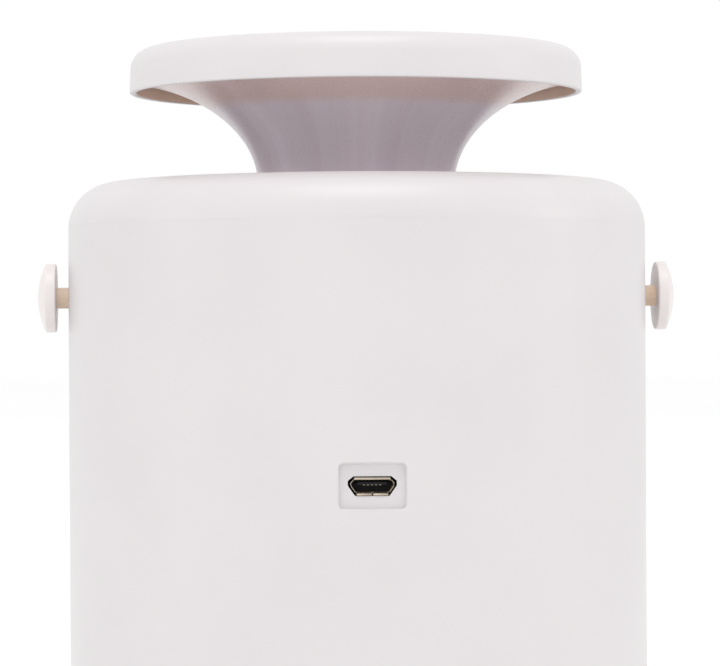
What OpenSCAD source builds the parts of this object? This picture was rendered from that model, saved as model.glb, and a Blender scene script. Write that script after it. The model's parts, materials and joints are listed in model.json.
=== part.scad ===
// Electric bug zapper, powered by a USB socket. Ultraviolet lamps in the cap light a hollow smoked
// neck, and a fan draws insects down round the neck, past the live grid and into the tray.
// Z is up, the origin is the centre of the base on the floor, and the power socket faces -Y.

/* [Overall] */
// Outside diameter of the body
body_d = 100; // [98:1:130]
// Height of the body's flat top above the floor
body_h = 115; // [112:1:145]
// Gap between the body's top and the cap's rim
neck_gap = 15.5; // [12:0.5:24]
// Outside diameter of the cap
cap_d = 78.6; // [74:0.2:96]
// Height of the cap
cap_h = 7.7; // [7.5:0.1:12]

/* [Walls] */
// Wall of the body, cover and tray
wall = 2.2; // [1.8:0.1:2.8]
// Wall of the cap's skirt
cap_wall = 1.2; // [1:0.1:2]
// Thickness of the cap's top
cap_top_t = 1.8; // [1.6:0.1:2.4]
// Wall of the smoked neck
neck_wall = 1.6; // [1.2:0.1:2]

/* [Top] */
// Radius of the rounded shoulder
shoulder_r = 8; // [7.6:0.1:11]
// Height of the top cover, down to the parting line
cover_h = 7.6; // [7:0.1:10]
// Diameter of the round air inlet
inlet_d = 72; // [66:1:78]
// Outside diameter of the neck where it enters the body
neck_d = 34.2; // [30:0.2:42]
// Part of the quarter ellipse that the neck's flare follows, in degrees
flare_angle = 76; // [66:1:82]
// Depth of the flare's end inside the cap's rim
flare_depth = 2.1; // [1:0.1:2.6]
// Number of ribs across the inlet
rib_count = 12; // [8:2:16]
// Thickness of a rib
rib_t = 1.6; // [1.2:0.1:2]

/* [Tray] */
// Height of the tray's outer wall
tray_h = 30; // [26:1:34]
// Height of the spigot that enters the body
spigot_h = 6; // [5:0.5:8]
// Number of exhaust slots
slot_count = 36; // [24:2:44]
// Width of an exhaust slot
slot_w = 2.2; // [1.6:0.1:3]
// Height of an exhaust slot
slot_h = 16; // [10:1:18]
// Height of the rubber feet below the tray
foot_h = 1.5; // [1:0.1:2.5]
// Diameter of a rubber foot
foot_d = 10; // [8:0.5:14]

/* [Power socket] */
// Height of the socket's centre above the floor
socket_z = 64.5; // [62:0.5:68]
// Width of the pocket round the socket
pocket_w = 11.4; // [10.4:0.1:14]
// Height of the pocket round the socket
pocket_h = 8.1; // [6.8:0.1:10]
// Depth of the pocket
pocket_t = 1.3; // [0.8:0.1:1.5]
// Width of the socket's flared lip
lip_w = 7.7; // [7.6:0.1:8.2]
// Height of the socket's flared lip
lip_h = 3; // [2.8:0.1:3.2]

/* [Power button] */
// Diameter of the button
button_d = 12; // [10:0.5:14]
// Height of the button's centre above the floor
button_z = 68; // [67:0.5:70]
// How far the button stands out of the body
button_proud = 0.4; // [0.2:0.1:0.8]
// Travel of the button
button_travel = 0.5; // [0.3:0.1:0.6]

/* [Strap studs] */
// Height of the studs above the floor
stud_z = 95.2; // [90:0.2:98]
// Diameter of a stud's head
stud_head_d = 11.9; // [9:0.1:14]
// Height of the straight rim of a stud's head
stud_rim_h = 1.6; // [1:0.1:2.5]
// Height of the dome on a stud's head
stud_dome_h = 1.6; // [1:0.1:2.5]
// Gap between a stud's head and the body
stud_gap = 2.1; // [1.5:0.1:4]
// Diameter of a stud's stem
stud_stem_d = 3.6; // [3.2:0.1:5]

/* [Fan] */
// Width of the square fan frame
fan_w = 60; // [56:1:60]
// Thickness of the fan
fan_t = 15; // [15:1:18]
// Diameter of the fan's duct
duct_d = 57.2; // [53:0.2:57.6]
// Diameter of the fan's hub
hub_d = 28; // [27:0.5:32]
// Number of blades
blade_count = 7; // [5:1:9]
// Pitch of the blades from flat, in degrees
blade_pitch = 38; // [30:1:50]
// Gap between the blade tips and the duct
tip_gap = 0.8; // [0.5:0.1:1.5]

/* [Grid] */
// Distance from one grid ring to the next
grid_pitch = 5; // [4.5:0.1:5.2]
// Diameter of the grid wire
grid_wire_d = 1.2; // [1:0.1:1.6]
// Height of the grid holder's arms
grid_arm_h = 5; // [4:0.5:8]

/* [Fits] */
// Gap round pieces that only have to go together
loose = 0.3; // [0.2:0.05:0.4]
// Gap round pieces that locate each other
close = 0.15; // [0.1:0.01:0.2]
// Radial gap of a shaft in its bearing and of the seal in the body
running = 0.05; // [0.02:0.01:0.09]

/* [Hidden] */

$fn = 96;
eps = 0.01;
over = 1;               // how far a cutter runs past the face it cuts

// Body levels, from the floor up
body_r = body_d / 2;
in_r = body_r - wall;
seam_z = foot_h + tray_h;
cover_z0 = body_h - cover_h;
cover_under = body_h - wall;
cap_z0 = body_h + neck_gap;
cap_z1 = cap_z0 + cap_h;
cap_r = cap_d / 2;
cap_in_r = cap_r - cap_wall;
cap_edge_r = 2.8;
cap_under = cap_z1 - cap_top_t;

// Neck and hub
neck_r = neck_d / 2;
neck_in_r = neck_r - neck_wall;
flare_z0 = body_h - 0.4;
flare_a = (cap_in_r - neck_r) / (1 - cos(flare_angle));
flare_b = (cap_z0 + flare_depth - flare_z0) / sin(flare_angle);
flare_steps = 18;
hub_drop = 11;
hub_wall = 2.15;
hub_in_r = neck_r + close;
hub_out_r = hub_in_r + hub_wall;
hub_z0 = body_h - hub_drop;
neck_z0 = hub_z0 + 0.2;
collar_h = 1.2;
collar_r = hub_out_r - 0.8;
neck_boss_r = 2.4;
neck_boss_pos = neck_in_r - neck_boss_r + 0.2;
neck_boss_h = 7.8;
base_t = 2;

// Power board and the stack above it
shell_h = 2.6;
shell_w = 7.5;
shell_len = 5;
lip_len = 0.6;
hole_w = 6.9;
hole_h = 1.95;
socket_gap = 0.12;
board_t = 1.6;
board_top = socket_z - shell_h / 2;
board_z0 = board_top - board_t;
board_boss_h = 4.6;
plate_t = 2;
plate_top = board_z0 - board_boss_h;
plate_z0 = plate_top - plate_t;
plate_r = in_r - loose;
boss_z0 = plate_top + 0.4;
fan_z0 = plate_top;
fan_z1 = fan_z0 + fan_t;
flange_t = 2;
flange_top = fan_z1 + flange_t;

// Fan
fan_corner_r = 4;
fan_hole_pos = fan_w / 2 - 5;
fan_hole_r = 2.15;
duct_r = duct_d / 2;
duct_wall = 1.4;
fan_flange_t = 3.5;
strut_h = 2.5;
strut_w = 3;
strut_count = 4;
seat_r = hub_d / 2 - 1;
seat_t = 2;
tube_out_r = 4.5;
tube_in_r = 3;
shaft_r = 1.5;
hub_r = hub_d / 2;
hub_wall_t = 1.2;
hub_top_t = 1.5;
rotor_z0 = fan_z0 + 4.2;
rotor_z1 = fan_z1 - 0.7;
magnet_t = 1.5;
magnet_out_r = hub_r - hub_wall_t;
stator_r = magnet_out_r - magnet_t - 0.8;
stator_z0 = fan_z0 + 5;
stator_h = 6.5;
fan_board_t = 1.2;
fan_board_r = seat_r - 1;

// Funnel and grid
funnel_wall = 1.6;
funnel_r = duct_r + 1.4;
holder_t = 1.5;
holder_r = funnel_r - 0.1;
arm_z0 = flange_top + 5;
arm_z1 = arm_z0 + grid_arm_h;
holder_top = arm_z1 + 2;
cone_z0 = holder_top + 4;
inlet_r = inlet_d / 2;
live_angle = -75;
ground_angle = -105;
wire_r = grid_wire_d / 2;
live_z = arm_z1 - wire_r;
ground_z = arm_z0 + wire_r;
bus_step = 0.4;
live_rings = [7, 7 + 2 * grid_pitch, 7 + 4 * grid_pitch];
ground_rings = [7 + grid_pitch, 7 + 3 * grid_pitch];
hv_lead_r = 0.9;

// Places on the body's wall
pillar_r = 2.6;
pillar_pos = in_r - 3.8;
board_boss_r = 3;
board_boss_pos = in_r - board_boss_r - 0.1;
board_boss_angle = 36.3;
ledge_t = 1;
ledge_h = 2;
board_r = in_r - 1;
chord_y = -(fan_w / 2 + 2.5);
cover_lip_r = in_r - 0.2;
cover_lip_t = 1.3;
pocket_y = -(body_r - pocket_t);
socket_y = pocket_y - 0.2;

// Wire channel in the top cover's wide rib
channel_w = 3.4;
channel_h = 3;
channel_z0 = hub_z0 + 0.6;
wide_rib_w = 6.4;
ring_under_r = inlet_r + funnel_wall + loose;
rib_z0 = body_h - 5;
rib_low_r = funnel_r + (inlet_r - funnel_r) * (rib_z0 - cone_z0) / (cover_under - cone_z0) - loose;
guard_r = (hub_out_r + inlet_r) / 2;
guard_t = 1.4;

// Cap electronics
led_boss_h = 1.5;
led_board_t = 1;
led_board_top = cap_under - led_boss_h;
led_board_z0 = led_board_top - led_board_t;
led_board_in_r = neck_in_r - 3.5;
led_board_out_r = cap_in_r - 4.1;
led_screw_pos = led_board_in_r + 8;
led_pos = led_screw_pos + 7;
led_count = 8;

// Tray
tray_edge_r = 3;
tray_floor = foot_h + wall;
spigot_r = in_r - loose;
spigot_t = 2.2;
seal_r = 0.86;
seal_pos = in_r - running - 0.03 - seal_r;
seal_z = seam_z + spigot_h / 2;
slot_z0 = foot_h + 6.5;
foot_pos = body_r - 12;
foot_recess = 0.8;
screen_t = 0.6;
screen_h = slot_h + 7;

// Button and its board
flange_r = button_d / 2 + 1.2;
button_flange_y = sqrt(in_r * in_r - flange_r * flange_r) - 0.25;
button_flange_t = 1.2;
button_post_h = 0.9;
plunger_tip_y = button_flange_y - button_flange_t - button_post_h;
plunger_r = 1.7;
plunger_len = 2.6;
switch_h = 3.6;
switch_face_y = plunger_tip_y - 1.7;
switch_board_y = switch_face_y - switch_h;
switch_board_w = 26;
switch_board_h = 12;
switch_hole_pos = 10;
switch_boss_r = 2.4;

// Studs
stud_face = body_r + stud_gap;
stud_spigot_r = 1.3;
stud_inner = in_r - 0.1;
stud_screw_r = 0.8;

// Screws: shank radius, head radius, head height
small_screw = [0.8, 1.8, 1.2];
board_screw = [0.9, 2, 1.2];
cover_screw = [1.25, 2.6, 1.8];
fan_screw = [1.5, 2.8, 2];

// ---------- helpers ----------

module ring(r_in, r_out, z0, z1) {
    translate([0, 0, z0])
        difference() {
            cylinder(r = r_out, h = z1 - z0);
            translate([0, 0, -over]) cylinder(r = r_in, h = z1 - z0 + 2 * over);
        }
}

// A disc with its top or bottom outer edge rounded, as a profile for rotate_extrude
module edge_profile(r, z0, z1, edge) {
    translate([0, z0]) square([r, z1 - z0 - edge]);
    translate([0, z0]) square([r - edge, z1 - z0]);
    translate([r - edge, z1 - edge]) circle(edge);
}

module rounded_2d(w, h, r) {
    square([w - 2 * r, h], center = true);
    square([w, h - 2 * r], center = true);
    for (x = [-1, 1], y = [-1, 1]) translate([x * (w / 2 - r), y * (h / 2 - r)]) circle(r);
}

module at_angle(a, r) {
    rotate([0, 0, a]) translate([r, 0, 0]) children();
}

// A pan-head screw along +Z, with its head's underside at z = 0 and the drive recess in its head
module screw(size, len) {
    difference() {
        union() {
            cylinder(r = size[0], h = len, $fn = 24);
            translate([0, 0, -size[2]]) cylinder(r = size[1], h = size[2], $fn = 32);
        }
        for (a = [0, 90]) rotate([0, 0, a])
            translate([0, 0, -size[2]]) cube([size[1] * 1.1, size[1] * 0.3, size[2]], center = true);
    }
}

// A slab facing -Y: children are drawn in X and Z and run from y0 to y1
module facing_y(y0, y1) {
    translate([0, y1, 0]) rotate([90, 0, 0]) linear_extrude(y1 - y0) children();
}

function unit(v) = v / norm(v);
function blend(a, b, c, d, t) = 0.5 * (2 * b + (c - a) * t + (2 * a - 5 * b + 4 * c - d) * t * t
    + (3 * b - a - 3 * c + d) * t * t * t);
function near(p, i) = p[max(0, min(len(p) - 1, i))];
function smooth(p, n) = concat([for (i = [0:len(p) - 2], k = [0:n - 1])
    blend(near(p, i - 1), p[i], p[i + 1], near(p, i + 2), k / n)], [p[len(p) - 1]]);
function heading(p, i) = unit(near(p, i + 1) - near(p, i - 1));
function square_to(n, t) = unit(n - (n * t) * t);
function side_at(p, i, n0) = square_to(i == 0 ? n0 : side_at(p, i - 1, n0), heading(p, i));
function hoop(p, i, r, n0, sides) = let (u = side_at(p, i, n0), v = cross(heading(p, i), u))
    [for (k = [0:sides - 1]) p[i] + r * (cos(360 * k / sides) * u + sin(360 * k / sides) * v)];

// A round lead along a route; n0 is any direction square to its start
module lead(route, r, n0, per_leg = 3, sides = 8) {
    p = smooth(route, per_leg);
    last = len(p) - 1;
    polyhedron(
        points = [for (i = [0:last]) each hoop(p, i, r, n0, sides)],
        faces = concat(
            [[for (k = [0:sides - 1]) k]],
            [[for (k = [sides - 1:-1:0]) last * sides + k]],
            [for (i = [0:last - 1], k = [0:sides - 1]) let (m = (k + 1) % sides)
                [(i + 1) * sides + k, (i + 1) * sides + m, i * sides + m, i * sides + k]]));
}

// ---------- cap and neck ----------

module cap() {
    color("whitesmoke")
        difference() {
            rotate_extrude() edge_profile(cap_r, cap_z0, cap_z1, cap_edge_r);
            translate([0, 0, cap_z0 - over]) cylinder(r = cap_in_r, h = cap_under - cap_z0 + over);
        }
    color("whitesmoke")
        for (a = [0:90:270]) at_angle(a, led_screw_pos)
            difference() {
                translate([0, 0, led_board_top]) cylinder(r = 2.4, h = led_boss_h + eps);
                translate([0, 0, led_board_top - over])
                    cylinder(r = small_screw[0], h = led_boss_h + over - 0.1, $fn = 24);
            }
}

function flare_r(t) = neck_r + flare_a * (1 - cos(t));
function flare_z(t) = flare_z0 + flare_b * sin(t);
// Direction from the flare's outside to its inside
function flare_in(t) = unit([-flare_b * cos(t), flare_a * sin(t)]);

module light_neck() {
    steps = [for (k = [1:flare_steps]) flare_angle * k / flare_steps];
    outside = [for (t = steps) [flare_r(t), flare_z(t)]];
    inside = [for (k = [len(steps) - 2:-1:0]) let (t = steps[k])
        [flare_r(t), flare_z(t)] + neck_wall * flare_in(t)];
    rim_z = flare_z(flare_angle);
    color("gray", 0.6)
        difference() {
            union() {
                rotate_extrude()
                    polygon(concat([[neck_in_r, neck_z0], [neck_r, neck_z0], [neck_r, flare_z0]],
                        outside, [[cap_in_r, rim_z + neck_wall]], inside, [[neck_in_r, flare_z0]]));
                ring(neck_r - eps, collar_r, body_h, body_h + collar_h);
                for (a = [90, 210, 330]) at_angle(a, neck_boss_pos)
                    translate([0, 0, neck_z0]) cylinder(r = neck_boss_r, h = neck_boss_h);
            }
            for (a = [90, 210, 330]) at_angle(a, neck_boss_pos)
                translate([0, 0, neck_z0 - over])
                    cylinder(r = board_screw[0], h = neck_boss_h - 1 + over, $fn = 24);
            translate([-channel_w / 2, -neck_r - over, neck_z0 - over])
                cube([channel_w, neck_wall + 2 * over, channel_z0 + channel_h - neck_z0 + over]);
        }
}

module led_board() {
    color("darkgreen")
        difference() {
            ring(led_board_in_r, led_board_out_r, led_board_z0, led_board_top);
            for (a = [0:90:270]) at_angle(a, led_screw_pos)
                translate([0, 0, led_board_z0 - over])
                    cylinder(r = small_screw[0] + close, h = led_board_t + 2 * over, $fn = 24);
        }
}

module uv_leds() {
    color("mediumpurple")
        for (k = [0:led_count - 1]) at_angle(360 * (k + 0.5) / led_count, led_pos)
            translate([0, 0, led_board_z0 - 0.7]) {
                translate([-1.4, -1.75, 0]) cube([2.8, 3.5, 0.7]);
                translate([0, 0, -0.4]) cylinder(r = 1.1, h = 0.4 + eps, $fn = 32);
            }
}

module led_board_screws() {
    color("silver")
        for (a = [0:90:270]) at_angle(a, led_screw_pos)
            translate([0, 0, led_board_z0]) screw(small_screw, led_board_t + led_boss_h - 0.1);
}

module neck_base() {
    color("dimgray")
        difference() {
            translate([0, 0, hub_z0 - base_t]) cylinder(r = hub_out_r - 0.2, h = base_t);
            for (a = [90, 210, 330]) at_angle(a, neck_boss_pos)
                translate([0, 0, hub_z0 - base_t - over])
                    cylinder(r = board_screw[0] + close, h = base_t + 2 * over, $fn = 24);
        }
}

module neck_screws() {
    color("silver")
        for (a = [90, 210, 330]) at_angle(a, neck_boss_pos)
            translate([0, 0, hub_z0 - base_t]) screw(board_screw, base_t + 0.2 + neck_boss_h - 2);
}

// ---------- top cover and body ----------

module cover_shell() {
    difference() {
        intersection() {
            rotate_extrude() edge_profile(body_r, cover_z0 - 2 * shoulder_r, body_h, shoulder_r);
            translate([0, 0, cover_z0]) cylinder(r = body_r + over, h = cover_h + over);
        }
        rotate_extrude()
            edge_profile(in_r, cover_z0 - 2 * shoulder_r, cover_under, shoulder_r - wall);
        translate([0, 0, cover_under - over]) cylinder(r = inlet_r, h = wall + 2 * over);
    }
    ring(cover_lip_r - cover_lip_t, cover_lip_r, cover_z0 - 3.4, cover_z0 + 0.6);
    ring(in_r - cover_lip_t - 0.2, in_r + 0.1, cover_z0, cover_z0 + 0.6);
    ring(ring_under_r, ring_under_r + 1.5, cover_under - 3, cover_under + eps);
}

module inlet_ribs() {
    intersection() {
        union() {
            for (k = [1:rib_count - 1]) rotate([0, 0, -90 + 360 * k / rib_count])
                translate([hub_out_r - 0.5, -rib_t / 2, rib_z0])
                    cube([inlet_r - hub_out_r + 1, rib_t, body_h - rib_z0]);
            ring(guard_r - guard_t / 2, guard_r + guard_t / 2, rib_z0 + 1, body_h);
        }
        union() {
            translate([0, 0, rib_z0]) cylinder(r = rib_low_r, h = body_h - rib_z0);
            translate([0, 0, cover_under]) cylinder(r = inlet_r + 0.5, h = wall);
        }
    }
}

module top_cover() {
    color("whitesmoke")
        difference() {
            union() {
                cover_shell();
                ring(hub_in_r, hub_out_r, hub_z0, body_h);
                inlet_ribs();
                translate([-wide_rib_w / 2, -ring_under_r - 0.4, channel_z0])
                    cube([wide_rib_w, ring_under_r + 0.4 - hub_in_r - 0.5, cover_under - channel_z0]);
                translate([-wide_rib_w / 2, -inlet_r - 0.5, cover_under - eps])
                    cube([wide_rib_w, inlet_r + 0.5 - hub_in_r - 0.5, wall + eps]);
                for (a = [45:90:315]) at_angle(a, pillar_pos)
                    translate([0, 0, plate_top]) cylinder(r = pillar_r, h = cover_under - plate_top + 0.5);
            }
            translate([-channel_w / 2, -ring_under_r - 2, hub_z0 - over])
                cube([channel_w, ring_under_r + 2 - hub_in_r + 1.2,
                    channel_z0 + channel_h - hub_z0 + over]);
            for (a = [45:90:315]) at_angle(a, pillar_pos)
                translate([0, 0, plate_top - over]) cylinder(r = cover_screw[0], h = 13 + over, $fn = 32);
        }
}

module cover_screws() {
    color("silver")
        for (a = [45:90:315]) at_angle(a, pillar_pos)
            translate([0, 0, plate_z0]) screw(cover_screw, plate_t + 12);
}

module main_housing() {
    color("whitesmoke")
        difference() {
            union() {
                rotate([0, 0, 20]) rotate_extrude()
                    polygon([[in_r, seam_z], [body_r, seam_z], [body_r, cover_z0], [in_r, cover_z0],
                        [in_r, plate_top + ledge_h], [in_r - ledge_t, plate_top + ledge_h],
                        [in_r - ledge_t, plate_top], [in_r, plate_top]]);
                for (s = [-1, 1]) at_angle(-90 + s * board_boss_angle, board_boss_pos) {
                    translate([0, 0, boss_z0])
                        cylinder(r = board_boss_r - 0.5, h = board_z0 - boss_z0, $fn = 48);
                    translate([0, -1.5, boss_z0]) cube([board_boss_r + 0.8, 3, board_z0 - boss_z0]);
                }
                for (s = [-1, 1]) translate([s * switch_hole_pos, in_r + 0.1, button_z])
                    rotate([90, 0, 0])
                        cylinder(r = switch_boss_r, h = in_r + 0.1 - switch_board_y, $fn = 48);
            }
            for (s = [-1, 1]) at_angle(-90 + s * board_boss_angle, board_boss_pos)
                translate([0, 0, boss_z0 + 0.6]) cylinder(r = board_screw[0], h = board_boss_h, $fn = 24);
            for (s = [-1, 1]) translate([s * switch_hole_pos, switch_board_y + 5, button_z])
                rotate([90, 0, 0]) cylinder(r = board_screw[0], h = 5 + over, $fn = 24);
            translate([0, 0, socket_z]) {
                facing_y(-body_r - over, pocket_y) rounded_2d(pocket_w, pocket_h, 1);
                facing_y(-body_r, -in_r + over) socket_2d(lip_w + 2 * socket_gap, lip_h + 2 * socket_gap);
            }
            for (s = [-1, 1]) translate([s * (in_r - over), 0, stud_z])
                rotate([0, s * 90, 0]) cylinder(r = stud_spigot_r + running, h = wall + 2 * over, $fn = 32);
            translate([0, body_r + over, button_z]) rotate([90, 0, 0])
                cylinder(r = button_d / 2 + close, h = wall + 4);
        }
}

// ---------- air path ----------

module inlet_funnel() {
    color("lightgray")
        difference() {
            union() {
                rotate_extrude()
                    polygon([[funnel_r, flange_top - 0.5], [funnel_r + funnel_wall, flange_top - 0.5],
                        [funnel_r + funnel_wall, cone_z0], [inlet_r + funnel_wall, cover_under],
                        [inlet_r, cover_under], [funnel_r, cone_z0]]);
                difference() {
                    translate([0, 0, fan_z1]) linear_extrude(flange_t)
                        rounded_2d(fan_w, fan_w, fan_corner_r);
                    translate([0, 0, fan_z1 - over]) cylinder(r = duct_r, h = flange_t + 2 * over);
                }
            }
            for (x = [-1, 1], y = [-1, 1]) translate([x * fan_hole_pos, y * fan_hole_pos, fan_z1 - over])
                cylinder(r = fan_screw[0] + close, h = flange_t + 2 * over, $fn = 32);
            translate([-wide_rib_w / 2 - loose, -inlet_r - 4, channel_z0 - 0.5])
                cube([wide_rib_w + 2 * loose, inlet_r, body_h - channel_z0]);
            hv_holes(funnel_r - over);
        }
}

// Round passages for the two grid leads, from radius r outwards
module hv_holes(r) {
    rotate([0, 0, live_angle]) translate([r, 0, live_z + bus_step])
        rotate([0, 90, 0]) cylinder(r = hv_lead_r + close, h = 8, $fn = 32);
    rotate([0, 0, ground_angle]) translate([r, 0, ground_z - bus_step])
        rotate([0, 90, 0]) cylinder(r = hv_lead_r + close, h = 8, $fn = 32);
}

module grid_holder() {
    slot = grid_wire_d;
    color("ivory")
        difference() {
            union() {
                ring(holder_r - holder_t, holder_r, flange_top, holder_top);
                for (a = [45, 135]) rotate([0, 0, a])
                    translate([-holder_r + 0.5, -1, arm_z0]) cube([2 * holder_r - 1, 2, grid_arm_h]);
                translate([0, 0, arm_z0]) cylinder(r = 4, h = grid_arm_h);
            }
            for (r = live_rings) ring(r - slot / 2, r + slot / 2, arm_z1 - slot, arm_z1 + over);
            for (r = ground_rings) ring(r - slot / 2, r + slot / 2, arm_z0 - over, arm_z0 + slot);
            hv_holes(holder_r - holder_t - over);
        }
}

// Concentric rings of wire joined by one bar towards the given angle
module grid(rings, z, bar_z, a) {
    for (r = rings) translate([0, 0, z]) rotate_extrude() translate([r, 0]) circle(wire_r, $fn = 24);
    last = rings[len(rings) - 1];
    rotate([0, 0, a]) translate([rings[0], 0, bar_z]) rotate([0, 90, 0])
        cylinder(r = wire_r, h = last + wire_r - rings[0], $fn = 24);
}

module live_grid() {
    color("silver") grid(live_rings, live_z, live_z + bus_step, live_angle);
}

module ground_grid() {
    color("silver") grid(ground_rings, ground_z, ground_z - bus_step, ground_angle);
}

module partition_plate() {
    boss_h = 4;
    color("lightgray")
        difference() {
            union() {
                translate([0, 0, plate_z0]) cylinder(r = plate_r, h = plate_t);
                for (x = [-1, 1], y = [-1, 1])
                    translate([x * fan_hole_pos, y * fan_hole_pos, plate_z0 - boss_h])
                        cylinder(r = 3.4, h = boss_h + eps, $fn = 48);
            }
            translate([0, 0, plate_z0 - over]) cylinder(r = duct_r, h = plate_t + 2 * over);
            for (x = [-1, 1], y = [-1, 1])
                translate([x * fan_hole_pos, y * fan_hole_pos, plate_z0 - boss_h + 0.8])
                    cylinder(r = fan_screw[0], h = boss_h + plate_t, $fn = 32);
            for (a = [45:90:315]) at_angle(a, pillar_pos)
                translate([0, 0, plate_z0 - over])
                    cylinder(r = cover_screw[0] + close, h = plate_t + 2 * over, $fn = 32);
        }
}

// ---------- fan ----------

module fan_frame() {
    color("dimgray")
        difference() {
            union() {
                for (z = [fan_z0, fan_z1 - fan_flange_t]) translate([0, 0, z])
                    linear_extrude(fan_flange_t) rounded_2d(fan_w, fan_w, fan_corner_r);
                translate([0, 0, fan_z0]) cylinder(r = min(fan_w / 2, duct_r + duct_wall), h = fan_t);
            }
            difference() {
                translate([0, 0, fan_z0 - over]) cylinder(r = duct_r, h = fan_t + 2 * over);
                for (k = [0:strut_count - 1]) rotate([0, 0, -90 + 360 * k / strut_count])
                    translate([tube_out_r - 0.5, -strut_w / 2, fan_z0])
                        cube([duct_r, strut_w, strut_h]);
                translate([0, 0, fan_z0]) cylinder(r = seat_r, h = seat_t);
                translate([0, 0, fan_z0]) cylinder(r = tube_out_r, h = stator_z0 + stator_h - fan_z0);
            }
            ring(tube_out_r, seat_r, fan_z0 + seat_t, fan_z0 + strut_h + over);
            translate([0, 0, fan_z0 + 1]) cylinder(r = tube_in_r, h = fan_t);
            for (x = [-1, 1], y = [-1, 1]) translate([x * fan_hole_pos, y * fan_hole_pos, fan_z0 - over])
                cylinder(r = fan_hole_r, h = fan_t + 2 * over, $fn = 32);
            translate([-0.9, -fan_w / 2 - over, fan_z0 + strut_h])
                cube([1.8, fan_w / 2 + over - duct_r + 1, 2]);
        }
}

module fan_rotor() {
    tip_r = duct_r - tip_gap;
    blade_t = 1.2;
    blade_z = (rotor_z0 + rotor_z1) / 2;
    color("gray")
        difference() {
            union() {
                ring(magnet_out_r, hub_r, rotor_z0, rotor_z1 - hub_top_t + eps);
                translate([0, 0, rotor_z1 - hub_top_t]) cylinder(r = hub_r, h = hub_top_t);
                intersection() {
                    for (k = [0:blade_count - 1]) rotate([0, 0, 360 * k / blade_count])
                        translate([(hub_r + tip_r) / 2, 0, blade_z]) rotate([blade_pitch, 0, 0])
                            cube([tip_r - hub_r + 8, 17, blade_t], center = true);
                    ring(hub_r - 0.4, tip_r, rotor_z0 + 0.3, rotor_z1);
                }
            }
            translate([0, 0, rotor_z1 - hub_top_t - over]) cylinder(r = shaft_r, h = hub_top_t + 2 * over);
        }
}

module rotor_magnet() {
    color("darkslategray")
        ring(magnet_out_r - magnet_t, magnet_out_r, rotor_z0 + 0.5, rotor_z1 - hub_top_t - 0.3);
}

module fan_shaft() {
    color("silver")
        translate([0, 0, fan_z0 + 1.6]) cylinder(r = shaft_r, h = rotor_z1 - fan_z0 - 1.6);
}

module fan_bearing() {
    color("goldenrod") ring(shaft_r + running, tube_in_r, fan_z0 + 2.5, stator_z0 + stator_h - 0.5);
}

module fan_stator() {
    color("slategray")
        difference() {
            union() {
                ring(tube_out_r, tube_out_r + 1.6, stator_z0, stator_z0 + stator_h);
                for (a = [0, 90]) rotate([0, 0, a])
                    translate([-stator_r + 0.4, -1.1, stator_z0 + 1])
                        cube([2 * stator_r - 0.8, 2.2, stator_h - 2]);
                intersection() {
                    ring(stator_r - 1.2, stator_r, stator_z0 + 1, stator_z0 + stator_h - 1);
                    for (a = [0, 90]) rotate([0, 0, a])
                        translate([-stator_r - 1, -4.4, stator_z0])
                            cube([2 * stator_r + 2, 8.8, stator_h]);
                }
            }
            translate([0, 0, stator_z0 - over]) cylinder(r = tube_out_r, h = stator_h + 2 * over);
        }
}

module fan_coils() {
    color("chocolate")
        for (a = [0:90:270]) rotate([0, 0, a])
            difference() {
                translate([tube_out_r + 2, -1.8, stator_z0 + 0.2])
                    cube([stator_r - 1.7 - tube_out_r - 2, 3.6, stator_h - 0.4]);
                translate([tube_out_r, -1.1, stator_z0 + 1]) cube([stator_r, 2.2, stator_h - 2]);
            }
}

module fan_board() {
    color("darkgreen")
        ring(tube_out_r + 0.1, fan_board_r, fan_z0 + seat_t, fan_z0 + seat_t + fan_board_t);
}

module fan_screws() {
    len = flange_t + fan_t + plate_t + 3;
    color("silver")
        for (x = [-1, 1], y = [-1, 1]) translate([x * fan_hole_pos, y * fan_hole_pos, flange_top])
            rotate([180, 0, 0]) screw(fan_screw, len);
}

// ---------- power board ----------

module main_board() {
    color("darkgreen")
        difference() {
            translate([0, 0, board_z0])
                intersection() {
                    cylinder(r = board_r, h = board_t);
                    translate([-body_r, -body_d + chord_y, -over])
                        cube([body_d, body_d, board_t + 2 * over]);
                }
            for (a = [225, 315]) at_angle(a, pillar_pos)
                translate([0, 0, board_z0 - over]) cylinder(r = pillar_r + 0.5, h = board_t + 2 * over);
            for (s = [-1, 1]) at_angle(-90 + s * board_boss_angle, board_boss_pos)
                translate([0, 0, board_z0 - over])
                    cylinder(r = board_screw[0] + close, h = board_t + 2 * over, $fn = 24);
        }
}

module main_board_screws() {
    color("silver")
        for (s = [-1, 1]) at_angle(-90 + s * board_boss_angle, board_boss_pos)
            translate([0, 0, board_top]) rotate([180, 0, 0])
                screw(board_screw, board_t + board_boss_h - 1.2);
}

// The socket's outline: widest above its middle, with small cuts at the top and long ones below
module socket_2d(w, h) {
    shoulder = h / 2 - 0.33 * h;
    polygon([[-w / 2 + 0.27 * h, h / 2], [w / 2 - 0.27 * h, h / 2], [w / 2, shoulder],
        [w / 2 - 0.45 * h, -h / 2], [-w / 2 + 0.45 * h, -h / 2], [-w / 2, shoulder]]);
}

module usb_socket() {
    color("silver")
        translate([0, 0, socket_z])
            difference() {
                union() {
                    facing_y(socket_y, socket_y + lip_len) socket_2d(lip_w, lip_h);
                    facing_y(socket_y + lip_len - eps, socket_y + shell_len) socket_2d(shell_w, shell_h);
                }
                facing_y(socket_y - over, socket_y + shell_len - 0.3) socket_2d(hole_w, hole_h);
            }
}

module usb_tongue() {
    color("black")
        translate([0, 0, socket_z]) {
            facing_y(socket_y + 0.9, socket_y + 3.6)
                translate([0, 0.42]) square([4.8, 0.55], center = true);
            facing_y(socket_y + 3.6 - eps, socket_y + shell_len - 0.3) socket_2d(hole_w, hole_h);
        }
}

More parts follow.
